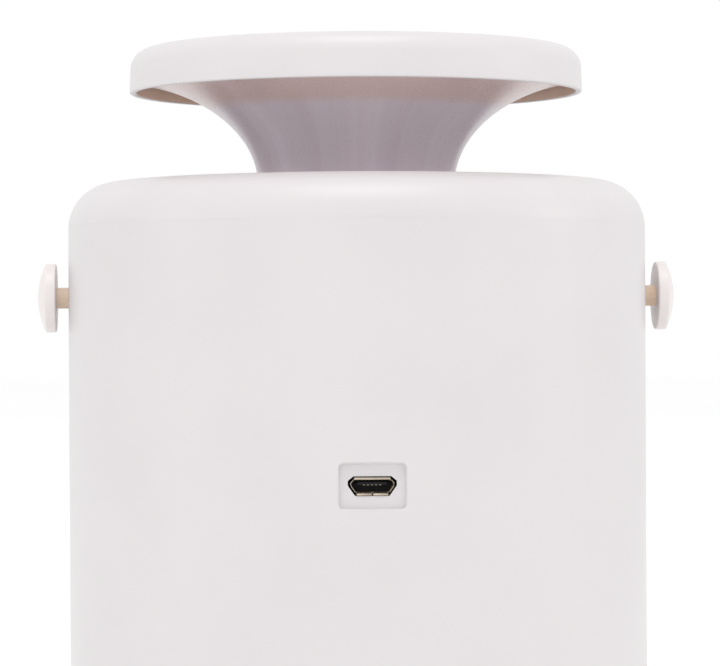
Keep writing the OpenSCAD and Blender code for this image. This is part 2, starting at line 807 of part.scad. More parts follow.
module usb_contacts() {
    color("gold")
        translate([0, 0, socket_z])
            for (k = [-2:2]) facing_y(socket_y + 1.1, socket_y + 3.5)
                translate([k * 0.65, 0.07]) square([0.35, 0.15], center = true);
}

module hv_transformer() {
    color("khaki")
        translate([4, chord_y - 10.5, board_top]) cube([12, 9.5, 2]);
    color("darkslategray")
        translate([4.8, chord_y - 10, board_top + 2 - eps]) cube([10.4, 8.5, 8 + eps]);
}

module hv_capacitors() {
    color("darkorange")
        for (x = [-13.3, -23.1]) translate([x, chord_y - 5.6, board_top]) cube([9, 5, 9]);
}

module smoothing_capacitor() {
    color("darkslateblue") translate([20.5, chord_y - 4.5, board_top]) cylinder(r = 3.15, h = 8, $fn = 48);
}

module driver_chip() {
    color("black") translate([-11.5, chord_y - 11.5, board_top]) cube([5, 4, 1.5]);
}

// ---------- power button ----------

module switch_board() {
    color("darkgreen")
        difference() {
            translate([-switch_board_w / 2, switch_board_y - board_t, button_z - switch_board_h / 2])
                cube([switch_board_w, board_t, switch_board_h]);
            for (s = [-1, 1]) translate([s * switch_hole_pos, switch_board_y + over, button_z])
                rotate([90, 0, 0])
                    cylinder(r = board_screw[0] + close, h = board_t + 2 * over, $fn = 24);
        }
}

module tact_switch() {
    color("black")
        difference() {
            translate([-3, switch_board_y, button_z - 3]) cube([6, switch_h, 6]);
            translate([0, switch_face_y + over, button_z]) rotate([90, 0, 0])
                cylinder(r = plunger_r + running, h = over + plunger_len - 1.4 + button_travel, $fn = 32);
        }
}

module switch_plunger() {
    color("dimgray")
        translate([0, plunger_tip_y, button_z]) rotate([90, 0, 0])
            cylinder(r = plunger_r, h = plunger_len, $fn = 32);
}

module power_button() {
    front = body_r + button_proud;
    color("whitesmoke")
        translate([0, 0, button_z]) {
            translate([0, front, 0]) rotate([90, 0, 0])
                cylinder(r = button_d / 2, h = front - button_flange_y + eps);
            translate([0, button_flange_y, 0]) rotate([90, 0, 0])
                cylinder(r = flange_r, h = button_flange_t);
            translate([0, button_flange_y - button_flange_t + eps, 0]) rotate([90, 0, 0])
                cylinder(r = 2, h = button_post_h + eps, $fn = 48);
        }
}

module switch_board_screws() {
    color("silver")
        for (s = [-1, 1]) translate([s * switch_hole_pos, switch_board_y - board_t, button_z])
            rotate([-90, 0, 0]) screw(board_screw, board_t + 4.5);
}

// ---------- strap studs ----------

// A stud along +Z from the body's axis
module stud() {
    head_r = stud_head_d / 2;
    dome_r = (head_r * head_r + stud_dome_h * stud_dome_h) / (2 * stud_dome_h);
    difference() {
        union() {
            translate([0, 0, stud_face]) cylinder(r = head_r, h = stud_rim_h);
            intersection() {
                translate([0, 0, stud_face + stud_rim_h + stud_dome_h - dome_r]) sphere(dome_r);
                translate([0, 0, stud_face + stud_rim_h - eps]) cylinder(r = head_r, h = 3 * stud_dome_h);
            }
            translate([0, 0, body_r]) cylinder(r = stud_stem_d / 2, h = stud_gap + eps, $fn = 48);
            translate([0, 0, stud_inner])
                cylinder(r = stud_spigot_r, h = body_r - stud_inner + eps, $fn = 32);
        }
        translate([0, 0, stud_inner - over]) cylinder(r = stud_screw_r, h = 4 + over, $fn = 24);
    }
}

module strap_stud(side) {
    color("whitesmoke") translate([0, 0, stud_z]) rotate([0, side * 90, 0]) stud();
}

module stud_screws() {
    color("silver")
        for (s = [-1, 1]) translate([0, 0, stud_z]) rotate([0, s * 90, 0])
            translate([0, 0, stud_inner]) screw([stud_screw_r, 2, 1.3], 3.8);
}

// ---------- tray ----------

module collection_tray() {
    step_z = seam_z - 3.5;
    color("whitesmoke")
        difference() {
            union() {
                difference() {
                    translate([0, 0, foot_h + seam_z]) mirror([0, 0, 1])
                        rotate_extrude() edge_profile(body_r, foot_h, seam_z, tray_edge_r);
                    translate([0, 0, tray_floor]) cylinder(r = in_r, h = tray_h);
                }
                ring(spigot_r - spigot_t, in_r + 0.1, step_z, seam_z);
                ring(spigot_r - spigot_t, spigot_r, seam_z - 0.5, seam_z + spigot_h);
            }
            ring(seal_pos - seal_r, spigot_r + over, seal_z - seal_r - 0.04, seal_z + seal_r + 0.04);
            for (k = [0:slot_count - 1]) rotate([0, 0, 360 * (k + 0.5) / slot_count])
                translate([in_r - 0.5, -slot_w / 2, slot_z0]) cube([wall + 1.5, slot_w, slot_h]);
            for (a = [45:90:315]) at_angle(a, foot_pos)
                translate([0, 0, foot_h - over]) cylinder(r = foot_d / 2 + close, h = foot_recess + over);
        }
}

module tray_seal() {
    color("black")
        translate([0, 0, seal_z]) rotate_extrude() translate([seal_pos, 0]) circle(seal_r, $fn = 32);
}

module vent_screen() {
    color("darkgray") ring(in_r - 0.2 - screen_t, in_r - 0.2, tray_floor, tray_floor + screen_h);
}

module rubber_feet() {
    color("black")
        for (a = [45:90:315]) at_angle(a, foot_pos) cylinder(r = foot_d / 2, h = foot_h + foot_recess);
}

// ---------- leads ----------

// From the lamp board down the neck, out through the wide rib and down to the power board
led_lead_r = 0.9;
channel_mid = channel_z0 + 1.5;
led_start_r = led_board_in_r + 1.6;
drop_y = -(ring_under_r + 2.4);
led_route = [
    [0, -led_start_r, led_board_z0], [0, -led_start_r, led_board_z0 - 3],
    [0, -led_start_r + 1.5, body_h + 8], [0, -led_start_r + 2, hub_z0 + 8],
    [0, -led_start_r + 1.4, channel_mid + 1.4], [0, -led_start_r - 1, channel_mid],
    [0, -hub_out_r, channel_mid], [0, -guard_r, channel_mid], [0, -inlet_r, channel_mid],
    [0, drop_y + 0.6, channel_mid - 1.2], [0, drop_y, channel_mid - 5],
    [0.6, drop_y, holder_top + 2], [1.2, chord_y - 6.5, board_top + 10],
    [1.2, chord_y - 5.5, board_top + 3], [1.2, chord_y - 5.5, board_top]];

module led_lead() {
    color("black") lead(led_route, led_lead_r, [1, 0, 0]);
}

// From the fan's board along its rear strut to the power board
fan_lead_r = 0.6;
fan_lead_z = fan_z0 + strut_h + fan_lead_r + 0.05;
fan_route = [
    [0, -fan_board_r, fan_lead_z], [0, -fan_board_r - 3, fan_lead_z], [0, -duct_r + 1, fan_lead_z],
    [0, -fan_w / 2 + 0.4, fan_lead_z], [0, -fan_w / 2 - 1.2, fan_lead_z + 1.2],
    [0, -fan_w / 2 - 1.3, board_top + 0.6], [0, chord_y - 0.6, board_top + 2],
    [0, chord_y - 1.6, board_top + 1.2], [0, chord_y - 1.8, board_top]];

module fan_lead() {
    color("crimson") lead(fan_route, fan_lead_r, [1, 0, 0]);
}

// A grid lead: straight out from the grid's bar, over the funnel and down to the given height
module grid_lead(a, from_r, z, foot) {
    out_r = fan_w / 2 + 4.6;
    side = [-sin(a), cos(a), 0];
    way = [cos(a), sin(a), 0];
    lead([way * from_r + [0, 0, z], way * (from_r + 3) + [0, 0, z], way * (out_r - 1.6) + [0, 0, z],
        way * (out_r - 0.2) + [0, 0, z - 1.4], way * out_r + [0, 0, (z + foot) / 2],
        way * out_r + [0, 0, foot + 1.6], way * out_r + [0, 0, foot]], hv_lead_r, side);
}

module live_lead() {
    color("red") grid_lead(live_angle, live_rings[2] + wire_r, live_z + bus_step, board_top + 10);
}

module ground_lead() {
    color("white") grid_lead(ground_angle, ground_rings[1] + wire_r, ground_z - bus_step, board_top + 9);
}

// From the switch board up over the fan, round the funnel and down to the power board
switch_lead_r = 0.75;
switch_lead_z = flange_top + 5;
switch_turn_r = pillar_pos - pillar_r - 2.9;
switch_route = concat([
    [-6, switch_board_y - board_t, button_z + 4], [-6, switch_board_y - board_t - 2, button_z + 4],
    [-7, switch_turn_r - 1, button_z + 6]],
    [for (a = [105:15:255]) [switch_turn_r * cos(a), switch_turn_r * sin(a), switch_lead_z]],
    [[-2.6, chord_y - 6, board_top + 9], [-2.6, chord_y - 6.5, board_top + 3],
    [-2.6, chord_y - 6.5, board_top]]);

module switch_lead() {
    color("royalblue") lead(switch_route, switch_lead_r, [1, 0, 0]);
}

cap();
light_neck();
led_board();
uv_leds();
led_board_screws();
neck_base();
neck_screws();
top_cover();
cover_screws();
main_housing();
inlet_funnel();
grid_holder();
live_grid();
ground_grid();
fan_frame();
fan_rotor();
rotor_magnet();
fan_shaft();
fan_bearing();
fan_stator();
fan_coils();
fan_board();
fan_screws();
partition_plate();
main_board();
usb_socket();
usb_tongue();
usb_contacts();
hv_transformer();
hv_capacitors();
smoothing_capacitor();
driver_chip();
main_board_screws();
switch_board();
tact_switch();
switch_plunger();
power_button();
switch_board_screws();
strap_stud(-1);  // strap_stud_left
strap_stud(1);  // strap_stud_right
stud_screws();
collection_tray();
tray_seal();
vent_screen();
rubber_feet();
led_lead();
fan_lead();
live_lead();
ground_lead();
switch_lead();
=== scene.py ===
import json
import math

import bmesh
import bpy
from mathutils import Matrix, Quaternion, Vector

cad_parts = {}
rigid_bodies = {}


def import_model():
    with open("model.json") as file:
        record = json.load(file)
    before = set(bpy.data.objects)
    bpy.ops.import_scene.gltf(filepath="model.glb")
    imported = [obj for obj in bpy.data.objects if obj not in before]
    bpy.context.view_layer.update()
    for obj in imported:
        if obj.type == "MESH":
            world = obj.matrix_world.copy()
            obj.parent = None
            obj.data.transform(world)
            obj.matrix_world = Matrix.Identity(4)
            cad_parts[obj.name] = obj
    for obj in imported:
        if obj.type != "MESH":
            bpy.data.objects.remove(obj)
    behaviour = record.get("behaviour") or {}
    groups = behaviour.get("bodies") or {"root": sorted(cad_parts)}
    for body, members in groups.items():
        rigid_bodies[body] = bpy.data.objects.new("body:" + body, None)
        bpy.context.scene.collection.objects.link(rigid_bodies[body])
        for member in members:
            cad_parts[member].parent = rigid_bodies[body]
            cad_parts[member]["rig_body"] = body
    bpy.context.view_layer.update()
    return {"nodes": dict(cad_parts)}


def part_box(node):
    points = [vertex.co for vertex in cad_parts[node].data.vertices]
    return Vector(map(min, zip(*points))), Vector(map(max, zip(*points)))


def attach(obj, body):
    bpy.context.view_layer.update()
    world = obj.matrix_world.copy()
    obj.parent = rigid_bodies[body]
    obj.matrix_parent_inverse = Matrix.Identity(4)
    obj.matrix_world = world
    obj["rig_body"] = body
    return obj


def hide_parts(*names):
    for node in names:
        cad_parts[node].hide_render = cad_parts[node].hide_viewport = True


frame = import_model()
scene = bpy.context.scene
mm = 0.001


# each finish is one material, made from a short description of the real one

def linear(colour):
    # sRGB hex to the linear values that a shader takes
    parts = [int(colour[i:i + 2], 16) / 255 for i in (1, 3, 5)]
    return [p / 12.92 if p <= 0.04045 else ((p + 0.055) / 1.055) ** 2.4 for p in parts] + [1.0]


def addNode(tree, kind, settings=None, links=None):
    node = tree.nodes.new(kind)
    for name, value in (settings or {}).items():
        if name == "stops":
            for k, (place, colour) in enumerate(value):
                stop = node.color_ramp.elements[k] if k < 2 else node.color_ramp.elements.new(place)
                stop.position = place
                stop.color = colour
        elif isinstance(name, str) and hasattr(node, name):
            setattr(node, name, value)
        else:
            node.inputs[name].default_value = value
    for name, output in (links or {}).items():
        tree.links.new(output, node.inputs[name])
    return node


def surface(look):
    # broad patches tint the colour, fine grain sets the roughness and the relief
    finish = bpy.data.materials.new(look["name"])
    finish.use_nodes = True
    tree = finish.node_tree
    tree.nodes.clear()
    place = addNode(tree, "ShaderNodeTexCoord")
    lay = addNode(tree, "ShaderNodeMapping", {"Scale": look.get("stretch", (1, 1, 1))},
                  {"Vector": place.outputs["Object"]})
    patches = addNode(tree, "ShaderNodeTexNoise",
                      {"Scale": 1 / (look["patchMm"] * mm), "Detail": 4.0, "Roughness": 0.55},
                      {"Vector": lay.outputs[0]})
    grain = addNode(tree, "ShaderNodeTexNoise", {"Scale": 1 / (look["grainMm"] * mm), "Detail": 2.0},
                    {"Vector": lay.outputs[0]})
    mixed = patches.outputs["Fac"]
    height = grain.outputs["Fac"]
    if "bandMm" in look:
        # a wave repeats every pi / 10 of its coordinate at scale 1
        bands = addNode(tree, "ShaderNodeTexWave",
                        {"bands_direction": look["bandAxis"], "Distortion": 0.4,
                         "Scale": math.pi / 10 / (look["bandMm"] * mm)},
                        {"Vector": place.outputs["Object"]})
        height = bands.outputs["Fac"]
    if "traceMm" in look:
        cells = addNode(tree, "ShaderNodeTexVoronoi",
                        {"distance": "MANHATTAN", "feature": "DISTANCE_TO_EDGE",
                         "Scale": 1 / (look["traceMm"] * mm)}, {"Vector": place.outputs["Object"]})
        lines = addNode(tree, "ShaderNodeMapRange", {"From Min": 0.05, "From Max": 0.09,
                                                     "To Min": 0.9, "To Max": 0.2},
                        {"Value": cells.outputs["Distance"]})
        mixed = lines.outputs[0]
        height = lines.outputs[0]
    colour = addNode(tree, "ShaderNodeValToRGB",
                     {"stops": [(0.3, linear(look["dark"])), (0.7, linear(look["light"]))]},
                     {"Fac": mixed})
    rough = addNode(tree, "ShaderNodeMapRange",
                    {"From Min": 0.3, "From Max": 0.7,
                     "To Min": look["rough"][0], "To Max": look["rough"][1]},
                    {"Value": grain.outputs["Fac"]})
    relief = addNode(tree, "ShaderNodeBump", {"Strength": 1.0, "Distance": look["reliefUm"] * 1e-6},
                     {"Height": height})
    shader = addNode(tree, "ShaderNodeBsdfPrincipled", look.get("shader", {}),
                     {"Base Color": colour.outputs["Color"], "Roughness": rough.outputs[0],
                      "Normal": relief.outputs["Normal"]})
    addNode(tree, "ShaderNodeOutputMaterial", {}, {"Surface": shader.outputs["BSDF"]})
    return finish


# moulded ABS, satin: an even, faintly warm white with a soft sheen and a very fine moulded grain
whiteAbs = surface({"name": "moulded white ABS", "dark": "#d0cccd", "light": "#d3cfd0",
                    "patchMm": 22, "grainMm": 0.25, "reliefUm": 1.5, "rough": (0.32, 0.42),
                    "shader": {"IOR": 1.53, "Specular IOR Level": 0.45}})
# a paler, warmer copy of the same ABS: painted light on the studs
litStudAbs = surface({"name": "moulded ABS with painted light", "dark": "#dcd6d4", "light": "#dfd9d7",
                   "patchMm": 12, "grainMm": 0.25, "reliefUm": 1.5, "rough": (0.3, 0.4),
                   "shader": {"IOR": 1.53, "Specular IOR Level": 0.45}})
# the same ABS with painted warm reflected light in its colour: matt, with a warm tan cast
warmReflectionAbs = surface({"name": "ABS with painted warm reflection", "dark": "#f0d6bd", "light": "#f5dfca",
                   "patchMm": 9, "grainMm": 0.4, "reliefUm": 4, "rough": (0.5, 0.62),
                   "shader": {"IOR": 1.53}})
# light grey ABS, matt: hides dust, and its grain breaks up the light
greyAbs = surface({"name": "moulded grey ABS", "dark": "#b4b4b6", "light": "#bdbdbf",
                   "patchMm": 8, "grainMm": 0.4, "reliefUm": 4, "rough": (0.48, 0.6),
                   "shader": {"IOR": 1.53}})
# black glass-filled nylon: almost black, with pale flecks and a dry sheen
blackNylon = surface({"name": "black filled nylon", "dark": "#131314", "light": "#1d1d1f",
                      "patchMm": 1.2, "grainMm": 0.3, "reliefUm": 6, "rough": (0.42, 0.6),
                      "shader": {"IOR": 1.53}})
# natural nylon: cream, slightly see-through at its edges
ivoryNylon = surface({"name": "natural ivory nylon", "dark": "#d6ccb2", "light": "#e0d8c3",
                      "patchMm": 5, "grainMm": 0.3, "reliefUm": 3, "rough": (0.38, 0.5),
                      "shader": {"IOR": 1.53, "Subsurface Weight": 0.1, "Subsurface Scale": 0.002}})
# silicone rubber: black, dull and slightly dusty
rubber = surface({"name": "black silicone rubber", "dark": "#1a1a1b", "light": "#242425",
                  "patchMm": 3, "grainMm": 0.3, "reliefUm": 8, "rough": (0.62, 0.78),
                  "shader": {"IOR": 1.41}})
# zinc-plated steel: pale and bluish, with a cloudy plating
zincSteel = surface({"name": "zinc-plated steel", "dark": "#b3b5b8", "light": "#cdd0d2",
                     "patchMm": 0.9, "grainMm": 0.2, "reliefUm": 3, "rough": (0.25, 0.4),
                     "shader": {"Metallic": 1.0}})
# drawn stainless wire: fine lines along its length
drawnWire = surface({"name": "drawn stainless steel", "dark": "#a9a8a6", "light": "#c9c8c5",
                     "patchMm": 1.5, "grainMm": 0.15, "reliefUm": 3, "rough": (0.2, 0.34),
                     "shader": {"Metallic": 1.0}})
# glass-fibre board under green solder resist: glossy, with copper tracks standing up through the resist
circuitBoard = surface({"name": "green resist on glass fibre", "dark": "#0d4a26", "light": "#1c6e3c",
                        "patchMm": 3, "grainMm": 0.2, "reliefUm": 30, "rough": (0.22, 0.34),
                        "traceMm": 2.6, "shader": {"IOR": 1.55, "Coat Weight": 0.3}})
print("shared materials made")


# mesh tools: sizes go in as millimetres and come out as metres

def meshFrom(shape, place=None):
    bmesh.ops.remove_doubles(shape, verts=shape.verts, dist=0.0005 * mm)
    bmesh.ops.recalc_face_normals(shape, faces=shape.faces)
    if place is not None:
        bmesh.ops.transform(shape, matrix=place, verts=shape.verts)
    mesh = bpy.data.meshes.new("shape")
    shape.to_mesh(mesh)
    shape.free()
    return mesh


def arc(centre, radius, start, end, steps=16):
    angles = [math.radians(start + (end - start) * k / steps) for k in range(steps + 1)]
    return [(centre[0] + radius * math.cos(a), centre[1] + radius * math.sin(a)) for a in angles]


def rounded(outline, steps=5):
    # a corner given as (u, v, radius) becomes an arc
    spots = []
    for k, corner in enumerate(outline):
        here = Vector(corner[:2])
        radius = corner[2] if len(corner) > 2 else 0
        if not radius:
            spots.append(here)
            continue
        back = Vector(outline[k - 1][:2]) - here
        on = Vector(outline[(k + 1) % len(outline)][:2]) - here
        half = back.angle(on) / 2
        reach = min(radius / math.tan(half), 0.48 * back.length, 0.48 * on.length)
        out = reach * math.tan(half) / math.sin(half)
        middle = here + (back.normalized() + on.normalized()).normalized() * out
        first = here + back.normalized() * reach - middle
        swing = first.angle_signed(here + on.normalized() * reach - middle)
        for i in range(steps + 1):
            spots.append(middle + Matrix.Rotation(-swing * i / steps, 2) @ first)
    return spots


def roundRect(width, height, radius, steps=6):
    w = width / 2
    h = height / 2
    return rounded([(w, -h, radius), (w, h, radius), (-w, h, radius), (-w, -h, radius)], steps)


def lathe(outline, steps=160, place=None):
    # a closed outline of (radius, height) in mm, turned about the vertical axis
    shape = bmesh.new()
    rings = []
    for radius, height in outline:
        count = 1 if radius < 1e-6 else steps
        turns = [2 * math.pi * k / steps for k in range(count)]
        rings.append([shape.verts.new(Vector((radius * math.cos(a), radius * math.sin(a), height)) * mm)
                      for a in turns])
    for low, high in zip(rings, rings[1:] + rings[:1]):
        for k in range(steps):
            corners = [low[k % len(low)], low[(k + 1) % len(low)],
                       high[(k + 1) % len(high)], high[k % len(high)]]
            corners = list(dict.fromkeys(corners))
            if len(corners) > 2:
                shape.faces.new(corners)
    return meshFrom(shape, place)


def at(x, y, z, turn=None):
    move = Matrix.Translation((x * mm, y * mm, z * mm))
    return move if turn is None else move @ turn


def pin(radius, low, high, sides, place=None):
    return lathe([(0, low), (radius, low), (radius, high), (0, high)], sides, place)


def washer(inner, outer, low, high, edges, sides=128):
    # a turned ring, with one edge radius for each corner from the inner low one round
    corners = [(inner, low), (outer, low), (outer, high), (inner, high)]
    return lathe(rounded([(*corner, edge) for corner, edge in zip(corners, edges)]), sides)


def boss(hole, radius, mouth, end, holeEnd, sides, place, edge=0):
    # a round post with a blind hole that opens at its mouth
    return lathe(rounded([(hole, mouth), (radius, mouth, edge), (radius, end), (0, end),
                          (0, holeEnd), (hole, holeEnd)]), sides, place)


def loft(rings, place=None):
    shape = bmesh.new()
    loops = [[shape.verts.new(Vector(spot) * mm) for spot in ring] for ring in rings]
    count = len(loops[0])
    for low, high in zip(loops, loops[1:]):
        for k in range(count):
            shape.faces.new((low[k], low[(k + 1) % count], high[(k + 1) % count], high[k]))
    shape.faces.new(loops[0])
    shape.faces.new(list(reversed(loops[-1])))
    return meshFrom(shape, place)


def eased(mesh, width, steps=2, angle=40):
    # rounds the edges that turn by more than the angle
    shape = bmesh.new()
    shape.from_mesh(mesh)
    edges = [e for e in shape.edges
             if len(e.link_faces) == 2 and e.calc_face_angle() > math.radians(angle)]
    bmesh.ops.bevel(shape, geom=edges, offset=width * mm, segments=steps, profile=0.5,
                    affect="EDGES", clamp_overlap=True)
    shape.to_mesh(mesh)
    shape.free()
    return mesh


def prism(outline, low, high, axis="Z", edge=0, place=None):
    lay = {"X": lambda u, v, w: (w, u, v), "Y": lambda u, v, w: (u, w, v),
           "Z": lambda u, v, w: (u, v, w)}[axis]
    mesh = loft([[lay(u, v, w) for u, v in outline] for w in (low, high)], place)
    return eased(mesh, edge) if edge else mesh


def block(low, high, edge=0):
    outline = [(low[0], low[1]), (high[0], low[1]), (high[0], high[1]), (low[0], high[1])]
    return prism(outline, low[2], high[2], "Z", edge)


def tube(route, radius, sides=12):
    # a round bar along a smooth curve through the route's points, in mm
    spots = [Vector(p) for p in route]
    line = []
    for k in range(len(spots) - 1):
        a, b, c, d = (spots[max(0, min(len(spots) - 1, k + i))] for i in (-1, 0, 1, 2))
        for i in range(6):
            t = i / 6
            line.append(0.5 * (2 * b + (c - a) * t + (2 * a - 5 * b + 4 * c - d) * t * t
                               + (3 * b - a - 3 * c + d) * t ** 3))
    line.append(spots[-1])
    side = (line[1] - line[0]).orthogonal().normalized()
    rings = []
    for k, spot in enumerate(line):
        way = (line[min(k + 1, len(line) - 1)] - line[max(k - 1, 0)]).normalized()
        side = (side - side.dot(way) * way).normalized()
        other = way.cross(side)
        turns = [2 * math.pi * i / sides for i in range(sides)]
        rings.append([spot + radius * (math.cos(a) * side + math.sin(a) * other) for a in turns])
    return loft(rings)


def settled(holder, others=()):
    # what the holder's modifiers give, as a plain mesh
    bpy.context.view_layer.update()
    view = bpy.context.evaluated_depsgraph_get()
    mesh = bpy.data.meshes.new_from_object(holder.evaluated_get(view))
    for spent in (holder, *others):
        bpy.data.objects.remove(spent)
    return mesh


def held(mesh):
    holder = bpy.data.objects.new("holder", mesh)
    scene.collection.objects.link(holder)
    return holder


def carved(mesh, *cutters):
    holder = held(mesh)
    tools = [held(cutter) for cutter in cutters]
    for tool in tools:
        cut = holder.modifiers.new("cut", "BOOLEAN")
        cut.operation = "DIFFERENCE"
        cut.solver = "EXACT"
        cut.object = tool
    return settled(holder, tools)


def grown(group, mesh, values):
    # runs a node group on a mesh, its inputs given by name
    holder = held(mesh)
    change = holder.modifiers.new("grown", "NODES")
    change.node_group = group
    for item in group.interface.items_tree:
        if item.in_out == "INPUT" and item.name in values:
            change[item.identifier] = values[item.name]
    return settled(holder)


def nodeGroup(name, inputs):
    group = bpy.data.node_groups.new(name, "GeometryNodeTree")
    group.interface.new_socket("Geometry", in_out="INPUT", socket_type="NodeSocketGeometry")
    for label, kind in inputs:
        group.interface.new_socket(label, in_out="INPUT", socket_type="NodeSocket" + kind)
    group.interface.new_socket("Geometry", in_out="OUTPUT", socket_type="NodeSocketGeometry")
    return group, addNode(group, "NodeGroupInput")


# copies of one shape, turned about the vertical axis or moved along a step
copyGroup, given = nodeGroup("copies in a row or ring", [
    ("Count", "Int"), ("First angle", "Float"), ("Angle step", "Float"), ("Shift", "Vector"),
    ("Finish", "Material")])
number = addNode(copyGroup, "GeometryNodeInputIndex")
turned = addNode(copyGroup, "ShaderNodeMath", {"operation": "MULTIPLY_ADD"},
                 {0: number.outputs[0], 1: given.outputs["Angle step"],
                  2: given.outputs["First angle"]})
aboutAxis = addNode(copyGroup, "ShaderNodeCombineXYZ", {}, {"Z": turned.outputs[0]})
along = addNode(copyGroup, "ShaderNodeVectorMath", {"operation": "SCALE"},
                {0: given.outputs["Shift"], "Scale": number.outputs[0]})
spots = addNode(copyGroup, "GeometryNodePoints", {},
                {"Count": given.outputs["Count"], "Position": along.outputs[0]})
placed = addNode(copyGroup, "GeometryNodeInstanceOnPoints", {},
                 {"Points": spots.outputs[0], "Instance": given.outputs["Geometry"],
                  "Rotation": aboutAxis.outputs[0]})
real = addNode(copyGroup, "GeometryNodeRealizeInstances", {}, {"Geometry": placed.outputs[0]})
painted = addNode(copyGroup, "GeometryNodeSetMaterial", {},
                  {"Geometry": real.outputs[0], "Material": given.outputs["Finish"]})
addNode(copyGroup, "NodeGroupOutput", {}, {"Geometry": painted.outputs[0]})


def copies(mesh, finish, count, first=0.0, step=None, shift=(0, 0, 0)):
    turn = 360 / count if step is None else step
    return grown(copyGroup, mesh, {
        "Count": count, "First angle": math.radians(first), "Angle step": math.radians(turn),
        "Shift": Vector(shift) * mm, "Finish": finish})


def addPiece(node, parts, sharp=35, outerWall=0):
    # (mesh, material) pairs become one piece that stands for the CAD node of that name
    shape = bmesh.new()
    finishes = []
    for mesh, finish in parts:
        start = len(shape.faces)
        shape.from_mesh(mesh)
        shape.faces.ensure_lookup_table()
        if finish not in finishes:
            finishes.append(finish)
        for face in shape.faces[start:]:
            face.material_index = finishes.index(finish)
            face.smooth = True
    mesh = bpy.data.meshes.new(node + "_fine")
    shape.to_mesh(mesh)
    shape.free()
    mesh.materials.clear()
    for finish in finishes:
        mesh.materials.append(finish)
    mesh.set_sharp_from_angle(angle=math.radians(sharp))
    if outerWall:
        straightenShading(mesh, outerWall * mm)
    piece = bpy.data.objects.new(node + "_fine", mesh)
    scene.collection.objects.link(piece)
    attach(piece, frame["nodes"][node]["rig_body"])
    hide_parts(node)
    return piece


def straightenShading(mesh, radius):
    # long faces on the round wall take the true radial direction, so cuts leave no shading marks
    directions = [Vector((0, 0, 0))] * len(mesh.loops)
    for face in mesh.polygons:
        outward = Vector((face.center.x, face.center.y, 0)).normalized()
        if face.normal.dot(outward) < 0.999:
            continue
        for k in face.loop_indices:
            spot = mesh.vertices[mesh.loops[k].vertex_index].co
            if abs(math.hypot(spot.x, spot.y) - radius) < 0.01 * mm:
                directions[k] = Vector((spot.x, spot.y, 0)).normalized()
    mesh.normals_split_custom_set(directions)


def softened(node, finish, width=0.15, angle=40):
    # the CAD shape itself, with its triangles merged and its edges eased
    shape = bmesh.new()
    shape.from_mesh(frame["nodes"][node].data)
    bmesh.ops.remove_doubles(shape, verts=shape.verts, dist=0.002 * mm)
    bmesh.ops.dissolve_limit(shape, angle_limit=math.radians(1), verts=shape.verts, edges=shape.edges)
    mesh = bpy.data.meshes.new("shape")
    shape.to_mesh(mesh)
    shape.free()
    if width:
        eased(mesh, width, 2, angle)
    return addPiece(node, [(mesh, finish)])


def boxMm(node):
    low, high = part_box(node)
    return low / mm, high / mm


towardsX = Matrix.Rotation(math.radians(90), 4, "Y")
towardsY = Matrix.Rotation(math.radians(-90), 4, "X")
print("mesh tools and the copying node group ready")


# the cap is a turned dish with four screw bosses under its ceiling
capLow, capHigh = boxMm("cap")
cap = {"radius": capHigh.x, "low": capLow.z, "high": capHigh.z, "edge": 3.5, "wall": 1.2,
       "draft": 0.3, "top": 1.8, "lip": 0.35, "corner": 0.5, "bossRing": 20}
skirtIn = cap["radius"] - cap["wall"]
ceiling = cap["high"] - cap["top"]
capBoss = {"hole": 0.8, "radius": 2.4, "mouth": 134.9, "end": ceiling + 0.2,
           "holeEnd": ceiling - 0.1, "sides": 32}
capOutline = rounded([
    (0, cap["high"]), (cap["radius"] - cap["draft"], cap["high"], cap["edge"]),
    (cap["radius"], cap["low"], cap["lip"]), (skirtIn, cap["low"], cap["lip"]),
    (skirtIn, ceiling, cap["corner"]), (0, ceiling)], 10)
capPiece = addPiece("cap", [
    (lathe(capOutline, 256), whiteAbs),
    (copies(boss(**capBoss, place=at(cap["bossRing"], 0, 0)), whiteAbs, 4), whiteAbs)])
capPiece.data.materials.append(warmReflectionAbs)
for face in capPiece.data.polygons:
    # the skirt's inner side and the ceiling take the painted warm reflection of light bounced inside
    # the cap
    out = math.hypot(face.center.x, face.center.y) / mm
    if out < skirtIn + 0.05 and face.center.z / mm < ceiling + 0.1:
        face.material_index = 1
print("cap")


# satin smoked polycarbonate: grey with a lilac cast, painted reflection streaks down its length, and a
# painted warm reflection under the cap
neckLook = {"name": "satin smoked polycarbonate, painted reflections", "dark": "#cdbfc8", "light": "#dad0d8",
            "patchMm": 5.5, "grainMm": 0.3, "reliefUm": 0.5, "rough": (0.26, 0.34),
            "reflectionStreakRadius": 20, "capReflectionColour": "#d3bbb8", "capReflectionFrom": 127.3, "capReflectionTo": 128.5,
            "shader": {"IOR": 1.58, "Coat Weight": 0.25, "Coat Roughness": 0.18}}
smoked = surface(neckLook)
tree = smoked.node_tree
where = addNode(tree, "ShaderNodeTexCoord")
split = addNode(tree, "ShaderNodeSeparateXYZ", {}, {0: where.outputs["Object"]})
# the painted reflection streaks follow the bearing about the axis, so they run straight down the flare
level = addNode(tree, "ShaderNodeCombineXYZ", {}, {"X": split.outputs["X"], "Y": split.outputs["Y"]})
bearings = addNode(tree, "ShaderNodeVectorMath", {"operation": "NORMALIZE"}, {0: level.outputs[0]})
reflectionStreaks = addNode(tree, "ShaderNodeVectorMath",
                  {"operation": "SCALE", "Scale": neckLook["reflectionStreakRadius"] * mm},
                  {0: bearings.outputs[0]})
tree.links.new(reflectionStreaks.outputs[0], tree.nodes["Noise Texture"].inputs["Vector"])
